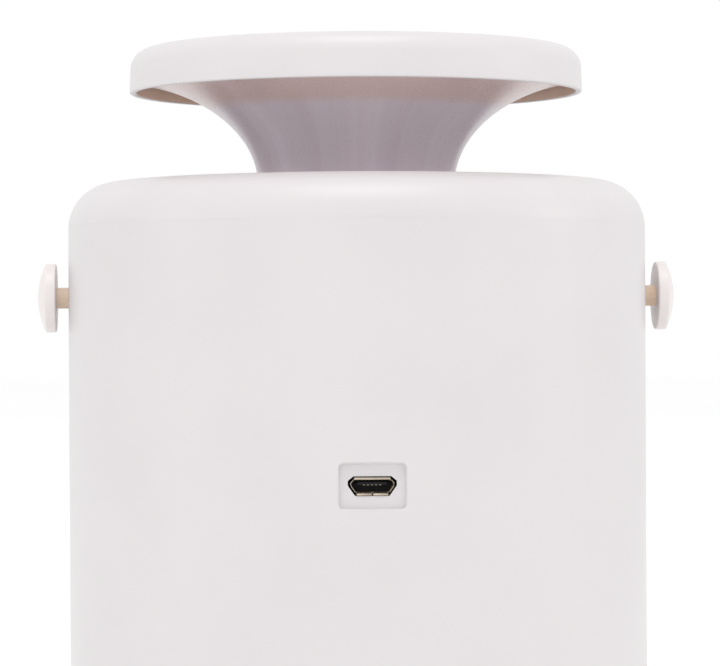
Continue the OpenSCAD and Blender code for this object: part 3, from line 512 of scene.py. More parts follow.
# a painted warm reflection of the cap's inside tints the top band of the neck, just under the cap
rise = addNode(tree, "ShaderNodeMapRange",
               {"From Min": neckLook["capReflectionFrom"] * mm, "From Max": neckLook["capReflectionTo"] * mm},
               {"Value": split.outputs["Z"]})
capReflection = addNode(tree, "ShaderNodeMix", {"data_type": "RGBA", 7: linear(neckLook["capReflectionColour"])},
               {0: rise.outputs[0], 6: tree.nodes["Color Ramp"].outputs["Color"]})
tree.links.new(capReflection.outputs[2], tree.nodes["Principled BSDF"].inputs["Base Color"])

# the neck is a tube that flares, along an ellipse, up to the cap's skirt
neck = {"radius": 17.1, "wall": 1.6, "low": boxMm("light_neck")[0].z, "flareLow": 114.6,
        "flareWide": 27.70, "flareHigh": 18.55, "flareTurn": 76, "steps": 44, "rimGap": 0.04,
        "collarIn": 17.0, "collarOut": 18.6, "collarLow": 115.0, "collarHigh": 116.2, "bossRing": 13.3}
neckBoss = {"hole": 0.9, "radius": 2.4, "mouth": neck["low"], "end": 112.0, "holeEnd": 111.0,
            "sides": 32}
leadWay = {"half": 1.7, "out": -41, "in": -14, "top": 107.6}
outside = []
inside = []
for k in range(neck["steps"] + 1):
    t = math.radians(neck["flareTurn"] * k / neck["steps"])
    spot = Vector((neck["radius"] + neck["flareWide"] * (1 - math.cos(t)),
                   neck["flareLow"] + neck["flareHigh"] * math.sin(t)))
    inward = Vector((-neck["flareHigh"] * math.cos(t), neck["flareWide"] * math.sin(t))).normalized()
    outside.append(spot)
    inside.append(spot + neck["wall"] * inward)
rim = Vector((skirtIn - neck["rimGap"], outside[-1].y))
neckOutline = [Vector((neck["radius"] - neck["wall"], neck["low"])),
               Vector((neck["radius"], neck["low"]))] + outside[:-1]
neckOutline += [rim, rim + Vector((0, neck["wall"]))] + list(reversed(inside[:-1]))
leadNotch = block((-leadWay["half"], -20, 100), (leadWay["half"], leadWay["in"], leadWay["top"]))
collar = washer(neck["collarIn"], neck["collarOut"], neck["collarLow"], neck["collarHigh"],
                (0, 0, 0.4, 0))
addPiece("light_neck", [
    (carved(lathe(neckOutline, 192), leadNotch), smoked), (collar, smoked),
    (copies(boss(**neckBoss, place=at(neck["bossRing"], 0, 0)), smoked, 3, 90), smoked)])
print("neck")


# the top cover: shoulder, inlet ribs, the hub that holds the neck, and four screw pillars
body = {"radius": 50, "bore": 47.8, "seam": 31.5, "parting": 107.4}
cover = {"top": boxMm("top_cover")[1].z, "under": 112.8, "shoulder": 8, "wall": 2.2, "inlet": 36,
         "flat": 40, "lipIn": 37.9, "lipOut": 39.4, "lipLow": 109.8, "spigotIn": 46.3,
         "spigotOut": 47.6, "spigotLow": 104.0, "spigotTop": 108.0, "hubIn": 17.25, "hubOut": 19.4,
         "guardIn": 27.0, "guardOut": 28.4, "guardLow": 111, "pillarRing": 44.0}
rib = {"in": 19.0, "step": 34.9, "out": 36.4, "low": 110, "sunk": 0.05, "half": 0.8, "edge": 0.25,
       "count": 11, "first": -60, "pitch": 30}
wideRib = {"in": -17.75, "step": -36.4, "out": -38.3, "low": 104.6, "half": 3.2}
pillar = {"hole": 1.25, "radius": 2.6, "mouth": 57.0, "end": 113.0, "holeEnd": 70.0, "sides": 40,
          "edge": 0.3}
shoulderMid = (body["radius"] - cover["shoulder"], cover["top"] - cover["shoulder"])
innerRound = cover["shoulder"] - cover["wall"]
lowAngle = math.degrees(math.asin((body["parting"] - shoulderMid[1]) / cover["shoulder"]))
lipAngle = math.degrees(math.asin((cover["spigotTop"] - shoulderMid[1]) / innerRound))
inletEdge = rounded([
    (cover["flat"], cover["top"]), (cover["inlet"], cover["top"], 0.5),
    (cover["inlet"], cover["under"], 0.2), (cover["lipIn"], cover["under"]),
    (cover["lipIn"], cover["lipLow"], 0.2), (cover["lipOut"], cover["lipLow"], 0.2),
    (cover["lipOut"], cover["under"])])
spigot = rounded([
    (cover["spigotIn"], cover["spigotTop"]), (cover["spigotIn"], cover["spigotLow"], 0.2),
    (cover["spigotOut"], cover["spigotLow"], 0.3), (cover["spigotOut"], body["parting"]),
    (body["radius"] - 0.01, body["parting"])])
coverOutline = arc(shoulderMid, cover["shoulder"], lowAngle, 90, 28) + inletEdge
coverOutline += arc(shoulderMid, innerRound, 90, lipAngle, 12) + spigot
hubTube = washer(cover["hubIn"], cover["hubOut"], cover["spigotLow"], cover["top"],
                 (0.2, 0.3, 0.4, 0.2))
guardRing = washer(cover["guardIn"], cover["guardOut"], cover["guardLow"], cover["top"],
                   (0.3, 0.3, 0.4, 0.4))
ribTop = cover["top"] - rib["sunk"]


def ribSide(sizes):
    # the rib's side: it steps up over the edge of the inlet
    return [(sizes["in"], sizes["low"]), (sizes["step"], sizes["low"]),
            (sizes["step"], cover["under"]), (sizes["out"], cover["under"]),
            (sizes["out"], ribTop), (sizes["in"], ribTop)]


thinRib = prism(ribSide(rib), -rib["half"], rib["half"], "Y", rib["edge"])
channel = block((-leadWay["half"], leadWay["out"], 102),
                (leadWay["half"], leadWay["in"], leadWay["top"]))
wideSide = [(wideRib["out"], wideRib["low"]), (wideRib["in"], wideRib["low"]), (wideRib["in"], ribTop),
            (wideRib["step"], ribTop), (wideRib["step"], cover["under"]),
            (wideRib["out"], cover["under"])]
wideBar = prism(wideSide, -wideRib["half"], wideRib["half"], "X", rib["edge"])
addPiece("top_cover", [
    (lathe(coverOutline, 256), whiteAbs), (carved(hubTube, channel), whiteAbs),
    (guardRing, whiteAbs),
    (copies(thinRib, whiteAbs, rib["count"], rib["first"], rib["pitch"]), whiteAbs),
    (carved(wideBar, channel), whiteAbs),
    (copies(boss(**pillar, place=at(cover["pillarRing"], 0, 0)), whiteAbs, 4, 45), whiteAbs)])
print("top cover")


# the housing is a turned wall, cut for the power socket, the studs and the button
pocket = {"width": 10.65, "height": 7.2, "corner": 0.7, "floor": 48.7, "centre": 64.5, "rim": 0.42,
          "foot": 0.15}
housing = {"ledgeIn": 46.8, "ledgeLow": 57.0, "ledgeHigh": 59.0, "studHole": 1.35, "studLevel": 95.2,
           "buttonHole": 6.15, "buttonChamfer": 6.55, "buttonLevel": 68, "boardRing": 44.7,
           "boardFirst": -126.3, "boardStep": 72.6, "switchAside": 10}
boardBoss = {"hole": 0.9, "radius": 2.5, "mouth": 61.6, "end": 57.4, "holeEnd": 58.0, "sides": 40}
switchFace = boxMm("switch_board")[1].y
switchBoss = {"hole": 0.9, "radius": 2.4, "mouth": switchFace, "end": 47.9, "holeEnd": switchFace + 5,
              "sides": 40}


def roundPocket(sizes, wall):
    # the pocket's cutter: it widens at the wall to leave a rounded rim, and narrows to its floor
    def ring(grow, level):
        outline = roundRect(sizes["width"] + 2 * grow, sizes["height"] + 2 * grow,
                            sizes["corner"] + grow, 8)
        return [(u, level(u), sizes["centre"] + v) for u, v in outline]

    def skin(depth):
        return lambda u: -math.sqrt((wall - depth) ** 2 - u * u)

    rings = [ring(0.78 * sizes["rim"], skin(-1.0))]
    for turn in (15, 30, 45, 60, 75, 90):
        a = math.radians(turn)
        rings.append(ring(sizes["rim"] * (1 - math.sin(a)), skin(sizes["rim"] * (1 - math.cos(a)))))
    for turn in (0, 30, 60, 90):
        a = math.radians(turn)
        level = -(sizes["floor"] + sizes["foot"] * (1 - math.sin(a)))
        rings.append(ring(-sizes["foot"] * (1 - math.cos(a)), lambda u, y=level: y))
    return loft(rings)


# the hole in the pocket's floor, right half from the top down, mirrored for the left
mouthHalf = [(3.05, 1.58), (3.93, 0.85), (3.93, 0.1), (2.75, -1.58)]
mouth = [(-3.05, 1.58)] + mouthHalf + [(-u, v) for u, v in reversed(mouthHalf[1:])]
socketHole = [(u, pocket["centre"] + v) for u, v in rounded([(u, v, 0.4) for u, v in mouth], 4)]
housingOutline = rounded([
    (body["bore"], body["seam"], 0.1), (body["radius"], body["seam"], 0.3),
    (body["radius"], body["parting"] - 0.2), (body["radius"] - 0.03, body["parting"]),
    (body["bore"], body["parting"]), (body["bore"], housing["ledgeHigh"]),
    (housing["ledgeIn"], housing["ledgeHigh"], 0.2), (housing["ledgeIn"], housing["ledgeLow"]),
    (body["bore"], housing["ledgeLow"])])
studHole = pin(housing["studHole"], 46, 51, 32, at(0, 0, housing["studLevel"], towardsX))
buttonHole = lathe([
    (0, 44), (housing["buttonHole"], 44), (housing["buttonHole"], 49.75),
    (housing["buttonChamfer"], 50.2), (housing["buttonChamfer"], 52), (0, 52)], 64,
    at(0, 0, housing["buttonLevel"], towardsY))
housingShell = carved(lathe(housingOutline, 240), roundPocket(pocket, body["radius"]),
                      prism(socketHole, -49.5, -46, "Y"), copies(studHole, None, 2), buttonHole)
boardWeb = block((46.9, -1.5, boardBoss["end"]), (48.5, 1.5, boardBoss["mouth"]), 0.1)
boardPost = boss(**boardBoss, place=at(housing["boardRing"], 0, 0))
switchPost = boss(**switchBoss, place=at(-housing["switchAside"], 0, housing["buttonLevel"], towardsY))
boardSpots = (2, housing["boardFirst"], housing["boardStep"])
addPiece("main_housing", [
    (housingShell, whiteAbs), (copies(boardPost, whiteAbs, *boardSpots), whiteAbs),
    (copies(boardWeb, whiteAbs, *boardSpots), whiteAbs),
    (copies(switchPost, whiteAbs, 2, 0, 0, (2 * housing["switchAside"], 0, 0)), whiteAbs)],
    outerWall=body["radius"])
print("main housing")


# the tray has a slotted wall, a spigot with a seal groove, and holes for its feet
tray = {"low": 1.5, "edge": 3, "floor": 3.7, "spigotIn": 45.3, "spigotOut": 47.5, "spigotTop": 37.5,
        "grooveIn": 46.0, "grooveLow": 33.6, "grooveHigh": 35.4, "step": 28.0, "slots": 36,
        "slotFirst": 5, "slotWide": 2.2, "slotLow": 8.0, "slotTall": 16.0, "slotCorner": 0.6,
        "footRing": 38, "footRadius": 5.15, "footDeep": 2.3, "sealRing": 46.86, "sealRadius": 0.86,
        "sealLevel": 34.5}
trayOutline = rounded([
    (0, tray["low"]), (body["radius"], tray["low"], tray["edge"]), (body["radius"], body["seam"], 0.3),
    (tray["spigotOut"], body["seam"]), (tray["spigotOut"], tray["grooveLow"]),
    (tray["grooveIn"], tray["grooveLow"]), (tray["grooveIn"], tray["grooveHigh"]),
    (tray["spigotOut"], tray["grooveHigh"]), (tray["spigotOut"], tray["spigotTop"], 0.4),
    (tray["spigotIn"], tray["spigotTop"], 0.3), (tray["spigotIn"], tray["step"], 0.3),
    (body["bore"], tray["step"], 0.3), (body["bore"], tray["floor"], 1.5), (0, tray["floor"])], 8)


def slotRing(grow, out):
    outline = roundRect(tray["slotWide"] + 2 * grow, tray["slotTall"] + 2 * grow,
                        tray["slotCorner"] + grow, 4)
    return [(out, u, tray["slotLow"] + tray["slotTall"] / 2 + v) for u, v in outline]


# the slot widens near the wall, which leaves it a soft edge
ventSlot = loft([slotRing(0, 46.9), slotRing(0, 49.75), slotRing(0.1, 49.93), slotRing(0.5, 50.4)])
footHole = pin(tray["footRadius"], 0.5, tray["footDeep"], 64, at(tray["footRing"], 0, 0))
trayShell = carved(lathe(trayOutline, 288), copies(ventSlot, None, tray["slots"], tray["slotFirst"]),
                   copies(footHole, None, 4, 45))
addPiece("collection_tray", [(trayShell, whiteAbs)], outerWall=body["radius"])

# each foot is a disc with a shallow hollow underneath
footOutline = rounded([(0, 0.25), (3.4, 0.25, 0.2), (3.7, 0, 0.2), (5, 0, 0.6),
                       (5, tray["footDeep"], 0.1), (0, tray["footDeep"])])
footMesh = lathe(footOutline, 64, at(tray["footRing"], 0, 0))
addPiece("rubber_feet", [(copies(footMesh, rubber, 4, 45), rubber)])
sealMesh = lathe(arc((tray["sealRing"], tray["sealLevel"]), tray["sealRadius"], 0, 350, 35), 256)
addPiece("tray_seal", [(sealMesh, rubber)])
print("tray, feet and seal")

# a mesh of welded stainless wires inside the slots
screenGroup, given = nodeGroup("wire screen", [
    ("Radius", "Float"), ("Low", "Float"), ("High", "Float"), ("Wire", "Float"), ("Rows", "Int"),
    ("Columns", "Int"), ("Finish", "Material")])
number = addNode(screenGroup, "GeometryNodeInputIndex")
last = addNode(screenGroup, "ShaderNodeMath", {"operation": "SUBTRACT", 1: 1.0},
               {0: given.outputs["Rows"]})
share = addNode(screenGroup, "ShaderNodeMath", {"operation": "DIVIDE"},
                {0: number.outputs[0], 1: last.outputs[0]})
level = addNode(screenGroup, "ShaderNodeMapRange", {}, {
    "Value": share.outputs[0], "To Min": given.outputs["Low"], "To Max": given.outputs["High"]})
lift = addNode(screenGroup, "ShaderNodeCombineXYZ", {}, {"Z": level.outputs[0]})
rows = addNode(screenGroup, "GeometryNodePoints", {},
               {"Count": given.outputs["Rows"], "Position": lift.outputs[0]})
hoop = addNode(screenGroup, "GeometryNodeCurvePrimitiveCircle", {"Resolution": 180},
               {"Radius": given.outputs["Radius"]})
hoops = addNode(screenGroup, "GeometryNodeInstanceOnPoints", {},
                {"Points": rows.outputs[0], "Instance": hoop.outputs[0]})
inset = addNode(screenGroup, "ShaderNodeMath", {"operation": "SUBTRACT"},
                {0: given.outputs["Radius"], 1: given.outputs["Wire"]})
foot = addNode(screenGroup, "ShaderNodeCombineXYZ", {},
               {"X": inset.outputs[0], "Z": given.outputs["Low"]})
head = addNode(screenGroup, "ShaderNodeCombineXYZ", {},
               {"X": inset.outputs[0], "Z": given.outputs["High"]})
upright = addNode(screenGroup, "GeometryNodeCurvePrimitiveLine", {},
                  {"Start": foot.outputs[0], "End": head.outputs[0]})
columns = addNode(screenGroup, "GeometryNodePoints", {}, {"Count": given.outputs["Columns"]})
pace = addNode(screenGroup, "ShaderNodeMath", {"operation": "DIVIDE", 0: 2 * math.pi},
               {1: given.outputs["Columns"]})
bearing = addNode(screenGroup, "ShaderNodeMath", {"operation": "MULTIPLY"},
                  {0: number.outputs[0], 1: pace.outputs[0]})
turn = addNode(screenGroup, "ShaderNodeCombineXYZ", {}, {"Z": bearing.outputs[0]})
uprights = addNode(screenGroup, "GeometryNodeInstanceOnPoints", {},
                   {"Points": columns.outputs[0], "Instance": upright.outputs[0],
                    "Rotation": turn.outputs[0]})
both = addNode(screenGroup, "GeometryNodeJoinGeometry")
screenGroup.links.new(hoops.outputs[0], both.inputs[0])
screenGroup.links.new(uprights.outputs[0], both.inputs[0])
real = addNode(screenGroup, "GeometryNodeRealizeInstances", {}, {"Geometry": both.outputs[0]})
thin = addNode(screenGroup, "ShaderNodeMath", {"operation": "MULTIPLY", 1: 0.5},
               {0: given.outputs["Wire"]})
section = addNode(screenGroup, "GeometryNodeCurvePrimitiveCircle", {"Resolution": 6},
                  {"Radius": thin.outputs[0]})
wires = addNode(screenGroup, "GeometryNodeCurveToMesh", {"Fill Caps": True},
                {"Curve": real.outputs[0], "Profile Curve": section.outputs[0]})
painted = addNode(screenGroup, "GeometryNodeSetMaterial", {},
                  {"Geometry": wires.outputs[0], "Material": given.outputs["Finish"]})
addNode(screenGroup, "NodeGroupOutput", {}, {"Geometry": painted.outputs[0]})
screenSizes = {"Radius": 47.4 * mm, "Low": 3.95 * mm, "High": 26.5 * mm, "Wire": 0.24 * mm, "Rows": 18,
               "Columns": 230, "Finish": drawnWire}
addPiece("vent_screen", [(grown(screenGroup, bpy.data.meshes.new("empty"), screenSizes), drawnWire)],
         sharp=80)
print("vent screen")


# two domed studs hold the ends of a strap
stud = {"level": 95.2, "inner": 47.7, "wall": 49.9, "face": 52.1, "head": 5.95, "rim": 53.9,
        "apex": 55.3, "stem": 1.8, "spigot": 1.3, "hole": 0.8, "holeEnd": 51.7}
rise = stud["apex"] - stud["rim"]
domeRadius = (stud["head"] ** 2 + rise ** 2) / (2 * rise)
dome = [(r, stud["apex"] - domeRadius + math.sqrt(domeRadius ** 2 - r * r))
        for r in (5.5, 4.9, 4.3, 3.6, 2.8, 2.0, 1.2, 0.5, 0)]
studOutline = rounded([
    (stud["hole"], stud["inner"]), (stud["spigot"], stud["inner"]), (stud["spigot"], stud["wall"]),
    (stud["stem"], stud["wall"]), (stud["stem"], stud["face"], 0.25), (stud["head"], stud["face"], 0.3),
    (stud["head"], stud["rim"], 0.25), *dome, (0, stud["holeEnd"]), (stud["hole"], stud["holeEnd"])], 8)
for node, side in (("strap_stud_right", 1), ("strap_stud_left", -1)):
    aside = at(0, 0, stud["level"], Matrix.Rotation(side * math.pi / 2, 4, "Y"))
    studPiece = addPiece(node, [(lathe(studOutline, 96, aside), litStudAbs)])
    studPiece.data.materials.append(warmReflectionAbs)
    for face in studPiece.data.polygons:
        # the stem takes the painted warm reflection
        out = abs(face.center.x) / mm
        offAxis = math.hypot(face.center.y, face.center.z - stud["level"] * mm) / mm
        if out < stud["face"] and offAxis < stud["stem"] + 0.1:
            face.material_index = 1
print("strap studs")


# nickel-plated steel strip, folded: warm silver, with faint lines from the rolling
nickel = surface({"name": "nickel-plated steel", "dark": "#a89a88", "light": "#cbbfae",
                  "patchMm": 0.7, "grainMm": 0.12, "reliefUm": 3, "rough": (0.22, 0.36),
                  "stretch": (0.25, 1, 1), "shader": {"Metallic": 1.0}})
# thin gold flash over nickel, darkened to grey-brown by painted shade deep in the socket, with a faint
# glint
goldInPaintedShade = surface({"name": "gold-flashed contacts", "dark": "#75695a", "light": "#948a7a",
                "patchMm": 0.5, "grainMm": 0.1, "reliefUm": 1, "rough": (0.2, 0.3),
                "shader": {"Metallic": 1.0}})
# liquid-crystal polymer, dry and fine: a deeper black than the nylon, darkened further as painted shade
# inside the socket
shadedLcp = surface({"name": "black liquid-crystal polymer in painted shade", "dark": "#0b0b0c", "light": "#111113",
                    "patchMm": 1.2, "grainMm": 0.2, "reliefUm": 3, "rough": (0.5, 0.65),
                    "shader": {"IOR": 1.5, "Specular IOR Level": 0.3}})

# a micro-USB receptacle; its profile's cuts are shares of its height
socket = {"front": -48.9, "centre": 64.5, "root": 0.6, "width": 7.5, "height": 2.6, "length": 5.0,
          "holeWide": 6.9, "holeTall": 1.95, "lip": 0.24, "topCut": 0.27, "lowCut": 0.45,
          "sideCut": 0.33, "seam": 0.04}
# each flap of the mouth: how far it leans out, how thick it is, how much its corners are cut back
flapSizes = {"top": (0.08, 0.36, 0.02), "bottom": (0.22, 0.3, 0.05), "lowSide": (0.06, 0.12, 0.16),
             "highSide": (0.06, 0.12, 0.06)}
tongue = {"half": 2.4, "near": 1.0, "far": 3.7, "low": 0.15, "high": 0.69}
contact = {"first": -1.475, "wide": 0.35, "near": 0.97, "far": 3.5, "low": 0.1, "high": 0.245,
           "count": 5, "pitch": 0.65}


def socketOutline(width, height):
    side = height / 2 - socket["sideCut"] * height
    top = width / 2 - socket["topCut"] * height
    low = width / 2 - socket["lowCut"] * height
    corners = [(-top, height / 2), (top, height / 2), (width / 2, side), (low, -height / 2),
               (-low, -height / 2), (-width / 2, side)]
    return rounded([(u, v, 0.25) for u, v in corners], 3)


def socketRing(width, height, depth):
    return [(u, socket["front"] + depth, socket["centre"] + v)
            for u, v in socketOutline(width, height)]


def socketSleeve(front, back):
    # the outside from the back to the front, then the inside back again, closed into a ring
    outer = (socket["width"], socket["height"])
    hole = (socket["holeWide"], socket["holeTall"])
    lip = (hole[0] + socket["lip"], hole[1] + socket["lip"])
    shape = bmesh.new()
    sections = [socketRing(*outer, back), socketRing(*outer, front + 1), socketRing(*lip, front),
                socketRing(*hole, front), socketRing(*hole, back)]
    loops = [[shape.verts.new(Vector(p) * mm) for p in ring] for ring in sections]
    count = len(loops[0])
    for low, high in zip(loops, loops[1:] + loops[:1]):
        for k in range(count):
            shape.faces.new((low[k], low[(k + 1) % count], high[(k + 1) % count], high[k]))
    return meshFrom(shape)


def flap(start, end, out, kind):
    # one side of the mouth, bent outwards: start and end lie on the hole's outline
    flare, thick, trim = flapSizes[kind]
    a = Vector(start)
    e = Vector(end)
    way = (e - a).normalized() * trim
    out = Vector(out).normalized()
    rings = []
    for share, depth in ((0.0, socket["root"] + 0.05), (0.25, 0.32), (0.65, 0.12), (1.0, 0.0)):
        lean = out * flare * share
        inset = way * (0.3 + 0.7 * share)
        corners = [a + inset + lean, e - inset + lean, e - inset + lean + out * thick,
                   a + inset + lean + out * thick]
        rings.append([(p.x, socket["front"] + depth, socket["centre"] + p.y) for p in corners])
    return eased(loft(rings), 0.06, 2, 50)


w = socket["holeWide"] / 2
h = socket["holeTall"] / 2
topEnd = w - socket["topCut"] * socket["holeTall"]
lowEnd = w - socket["lowCut"] * socket["holeTall"]
wideAt = h - socket["sideCut"] * socket["holeTall"]
flaps = [flap((-topEnd, h), (topEnd, h), (0, 1), "top"),
         flap((-lowEnd, -h), (-socket["seam"], -h), (0, -1), "bottom"),
         flap((socket["seam"], -h), (lowEnd, -h), (0, -1), "bottom")]
for side in (-1, 1):
    flaps.append(flap((side * w, wideAt), (side * lowEnd, -h), (side, -0.65), "lowSide"))
    flaps.append(flap((side * topEnd, h), (side * w, wideAt), (side, 0.8), "highSide"))
sleeveMesh = socketSleeve(socket["root"], socket["length"])
addPiece("usb_socket", [(sleeveMesh, nickel)] + [(piece, nickel) for piece in flaps])

tongueBar = block((-tongue["half"], socket["front"] + tongue["near"], socket["centre"] + tongue["low"]),
                  (tongue["half"], socket["front"] + tongue["far"], socket["centre"] + tongue["high"]),
                  0.1)
backWall = loft([socketRing(socket["holeWide"] - 0.02, socket["holeTall"] - 0.02, depth)
                 for depth in (3.6, 4.7)])
addPiece("usb_tongue", [(tongueBar, shadedLcp), (backWall, shadedLcp)])
contactBar = block(
    (contact["first"], socket["front"] + contact["near"], socket["centre"] + contact["low"]),
    (contact["first"] + contact["wide"], socket["front"] + contact["far"],
     socket["centre"] + contact["high"]), 0.04)
contactRow = copies(contactBar, goldInPaintedShade, contact["count"], 0, 0, (contact["pitch"], 0, 0))
addPiece("usb_contacts", [(contactRow, goldInPaintedShade)])
print("power socket")


# a round button with a slightly dished face
button = {"front": 50.4, "flangeBack": 45.805, "flangeFront": 47.005, "postBack": 44.905, "post": 2,
          "radius": 6.0, "flange": 7.2, "level": 68.0, "dish": 0.35}
dishFloor = button["front"] - button["dish"]
buttonOutline = rounded([
    (0, button["postBack"]), (button["post"], button["postBack"], 0.2),
    (button["post"], button["flangeBack"]), (button["flange"], button["flangeBack"], 0.2),
    (button["flange"], button["flangeFront"], 0.2), (button["radius"], button["flangeFront"]),
    (button["radius"], button["front"], 0.5), (4.9, button["front"], 0.5),
    (3.6, button["front"] - 0.28, 1.5), (1.8, dishFloor, 1.5), (0, dishFloor)], 6)
buttonMesh = lathe(buttonOutline, 96, at(0, 0, button["level"], towardsY))
addPiece("power_button", [(buttonMesh, whiteAbs)])
print("power button")


# every screw, one group at a time

def screw(shank, head, headTall, length, place):
    # a pan-head screw pointing up, its head's underside at zero, with a cross recess
    outline = [(0, -headTall), (head, -headTall, headTall * 0.7), (head, 0, 0.1), (shank, 0)]
    pitch = shank * 0.7
    turns = int((length - 1.5 * shank) / pitch)
    for k in range(turns):
        outline += [(shank * 0.8, pitch * (k + 0.35)), (shank, pitch * (k + 0.85))]
    outline += [(shank * 0.75, length - shank), (shank * 0.3, length), (0, length)]
    arm = head * 0.55
    half = head * 0.15
    cross = [(arm, -half), (arm, half), (half, half), (half, arm), (-half, arm), (-half, half),
             (-arm, half), (-arm, -half), (-half, -half), (-half, -arm), (half, -arm), (half, -half)]
    made = carved(lathe(rounded(outline, 5), 32), prism(cross, -headTall - 1, -headTall / 2))
    made.transform(place)
    return made


headUp = Matrix.Rotation(math.pi, 4, "X")
screwSets = {
    "led_board_screws": {"size": (0.8, 1.8, 1.2, 2.4), "place": at(20, 0, 133.9), "ring": (4, 0, 90)},
    "neck_screws": {"size": (0.9, 2, 1.2, 8), "place": at(13.3, 0, 102), "ring": (3, 90, 120)},
    "cover_screws": {"size": (1.25, 2.6, 1.8, 14), "place": at(44, 0, 55), "ring": (4, 45, 90)},
    "fan_screws": {"size": (1.5, 2.8, 2, 22), "place": at(25 * math.sqrt(2), 0, 74, headUp),
                   "ring": (4, 45, 90)},
    "main_board_screws": {"size": (0.9, 2, 1.2, 5), "place": at(44.7, 0, 63.2, headUp),
                          "ring": (2, -126.3, 72.6)},
    "stud_screws": {"size": (0.8, 2, 1.3, 3.8), "place": at(47.7, 0, 95.2, towardsX),
                    "ring": (2, 0, 180)}}
for node, kit in screwSets.items():
    count, first, step = kit["ring"]
    addPiece(node, [(copies(screw(*kit["size"], kit["place"]), zincSteel, count, first, step),
                     zincSteel)])
switchBack = boxMm("switch_board")[0].y
boardScrew = screw(0.9, 2, 1.2, 6.1, at(-10, switchBack, 68, towardsY))
addPiece("switch_board_screws", [(copies(boardScrew, zincSteel, 2, 0, 0, (20, 0, 0)), zincSteel)])
print("screws")


# a brushless fan: hub and blades, then the parts that keep their CAD shape
fan = {"hub": 14, "hubLow": 61.2, "hubTop": 71.3, "cup": 12.8, "shaft": 1.5, "tip": 27.8,
       "cupTop": 69.8, "root": 13.7, "bladeLow": 61.55, "bladeTop": 71.2, "pitch": 38, "twist": 10,
       "thick": 1.1, "camber": 0.9, "blades": 7, "cuts": 8}
hubCup = lathe(rounded([(fan["cup"], fan["hubLow"], 0.15), (fan["hub"], fan["hubLow"], 0.15),
                        (fan["hub"], fan["hubTop"], 1.2), (fan["shaft"], fan["hubTop"], 0.1),
                        (fan["shaft"], fan["cupTop"]), (fan["cup"], fan["cupTop"])], 6), 96)
middle = (fan["bladeLow"] + fan["bladeTop"]) / 2
rings = []
for k in range(fan["cuts"] + 1):
    # each cut is farther out and leans a little less than the one before
    share = k / fan["cuts"]
    radius = fan["root"] + (fan["tip"] - fan["root"]) * share
    lean = math.radians(fan["pitch"] + fan["twist"] * (0.5 - share))
    chord = (fan["bladeTop"] - fan["bladeLow"]) / 2 / math.sin(lean)
    ring = []
    for side in (1, -1):
        for i in range(9):
            at01 = (-1 + i / 4) * side
            across = fan["camber"] * (1 - at01 ** 2) + side * fan["thick"] / 2 * (1 - 0.85 * at01 ** 4)
            turn = (at01 * chord * math.cos(lean) - across * math.sin(lean)) / radius
            up = middle + at01 * chord * math.sin(lean) * 0.95 + across * math.cos(lean) * 0.5
            ring.append((radius * math.cos(turn), radius * math.sin(turn), up))
    rings.append(ring)
blades = copies(loft(rings), blackNylon, fan["blades"])
addPiece("fan_rotor", [(hubCup, blackNylon), (blades, blackNylon)], sharp=50)

# bonded ferrite: charcoal and matt, with a sandy grain
ferrite = surface({"name": "bonded ferrite", "dark": "#2a2b2d", "light": "#3c3d40", "patchMm": 0.8,
                   "grainMm": 0.15, "reliefUm": 8, "rough": (0.55, 0.7), "shader": {"IOR": 1.6}})
# oil-filled sintered bronze: brown-gold and slightly porous
bronze = surface({"name": "sintered bronze", "dark": "#7c5a2e", "light": "#a87e45", "patchMm": 0.4,
                  "grainMm": 0.1, "reliefUm": 6, "rough": (0.35, 0.5), "shader": {"Metallic": 1.0}})
# stacked silicon steel: blue-grey sheets 0.5 mm thick with their cut edges showing
laminated = surface({"name": "stacked silicon steel", "dark": "#4a4c50", "light": "#6c6e72",
                     "patchMm": 1.2, "grainMm": 0.15, "reliefUm": 40, "rough": (0.35, 0.5),
                     "bandMm": 0.5, "bandAxis": "Z", "shader": {"Metallic": 1.0}})
# enamelled copper wire, wound: red-brown rows with a varnished shine
copper = surface({"name": "enamelled copper winding", "dark": "#7a3416", "light": "#b05a2a",
                  "patchMm": 0.6, "grainMm": 0.1, "reliefUm": 90, "rough": (0.2, 0.32),
                  "bandMm": 0.28, "bandAxis": "Z", "shader": {"Metallic": 0.9, "Coat Weight": 0.6}})
softened("fan_frame", blackNylon, 0.2)
softened("rotor_magnet", ferrite, 0.12)
softened("fan_shaft", drawnWire, 0.15)
softened("fan_bearing", bronze, 0.12)
softened("fan_stator", laminated, 0.06)
softened("fan_coils", copper, 0.3)
softened("fan_board", circuitBoard, 0.05)
print("fan")


# the funnel, the insulating holder, and the live and ground wires of the grid
softened("inlet_funnel", greyAbs, 0.2)
softened("grid_holder", ivoryNylon, 0.15)
softened("partition_plate", greyAbs, 0.2)
softened("neck_base", blackNylon, 0.2)


# the rings of each grid alternate, and a bar joins them above or below
grids = {"live_grid": {"rings": (7, 17, 27), "level": 83.4, "barLevel": 83.8, "angle": -75},
         "ground_grid": {"rings": (12, 22), "level": 79.6, "barLevel": 79.2, "angle": -105}}


def wireGrid(rings, level, barLevel, angle, wire=0.6):
    hoops = [lathe(arc((r, level), wire, 0, 345, 23), 96) for r in rings]
    away = Vector((math.cos(math.radians(angle)), math.sin(math.radians(angle)), 0))
    bar = tube([away * rings[0] + Vector((0, 0, barLevel)),
                away * (rings[-1] + wire) + Vector((0, 0, barLevel))], wire, 16)
    return [(m, drawnWire) for m in hoops + [bar]]


for node, layout in grids.items():
    addPiece(node, wireGrid(**layout))
print("air path and grid")


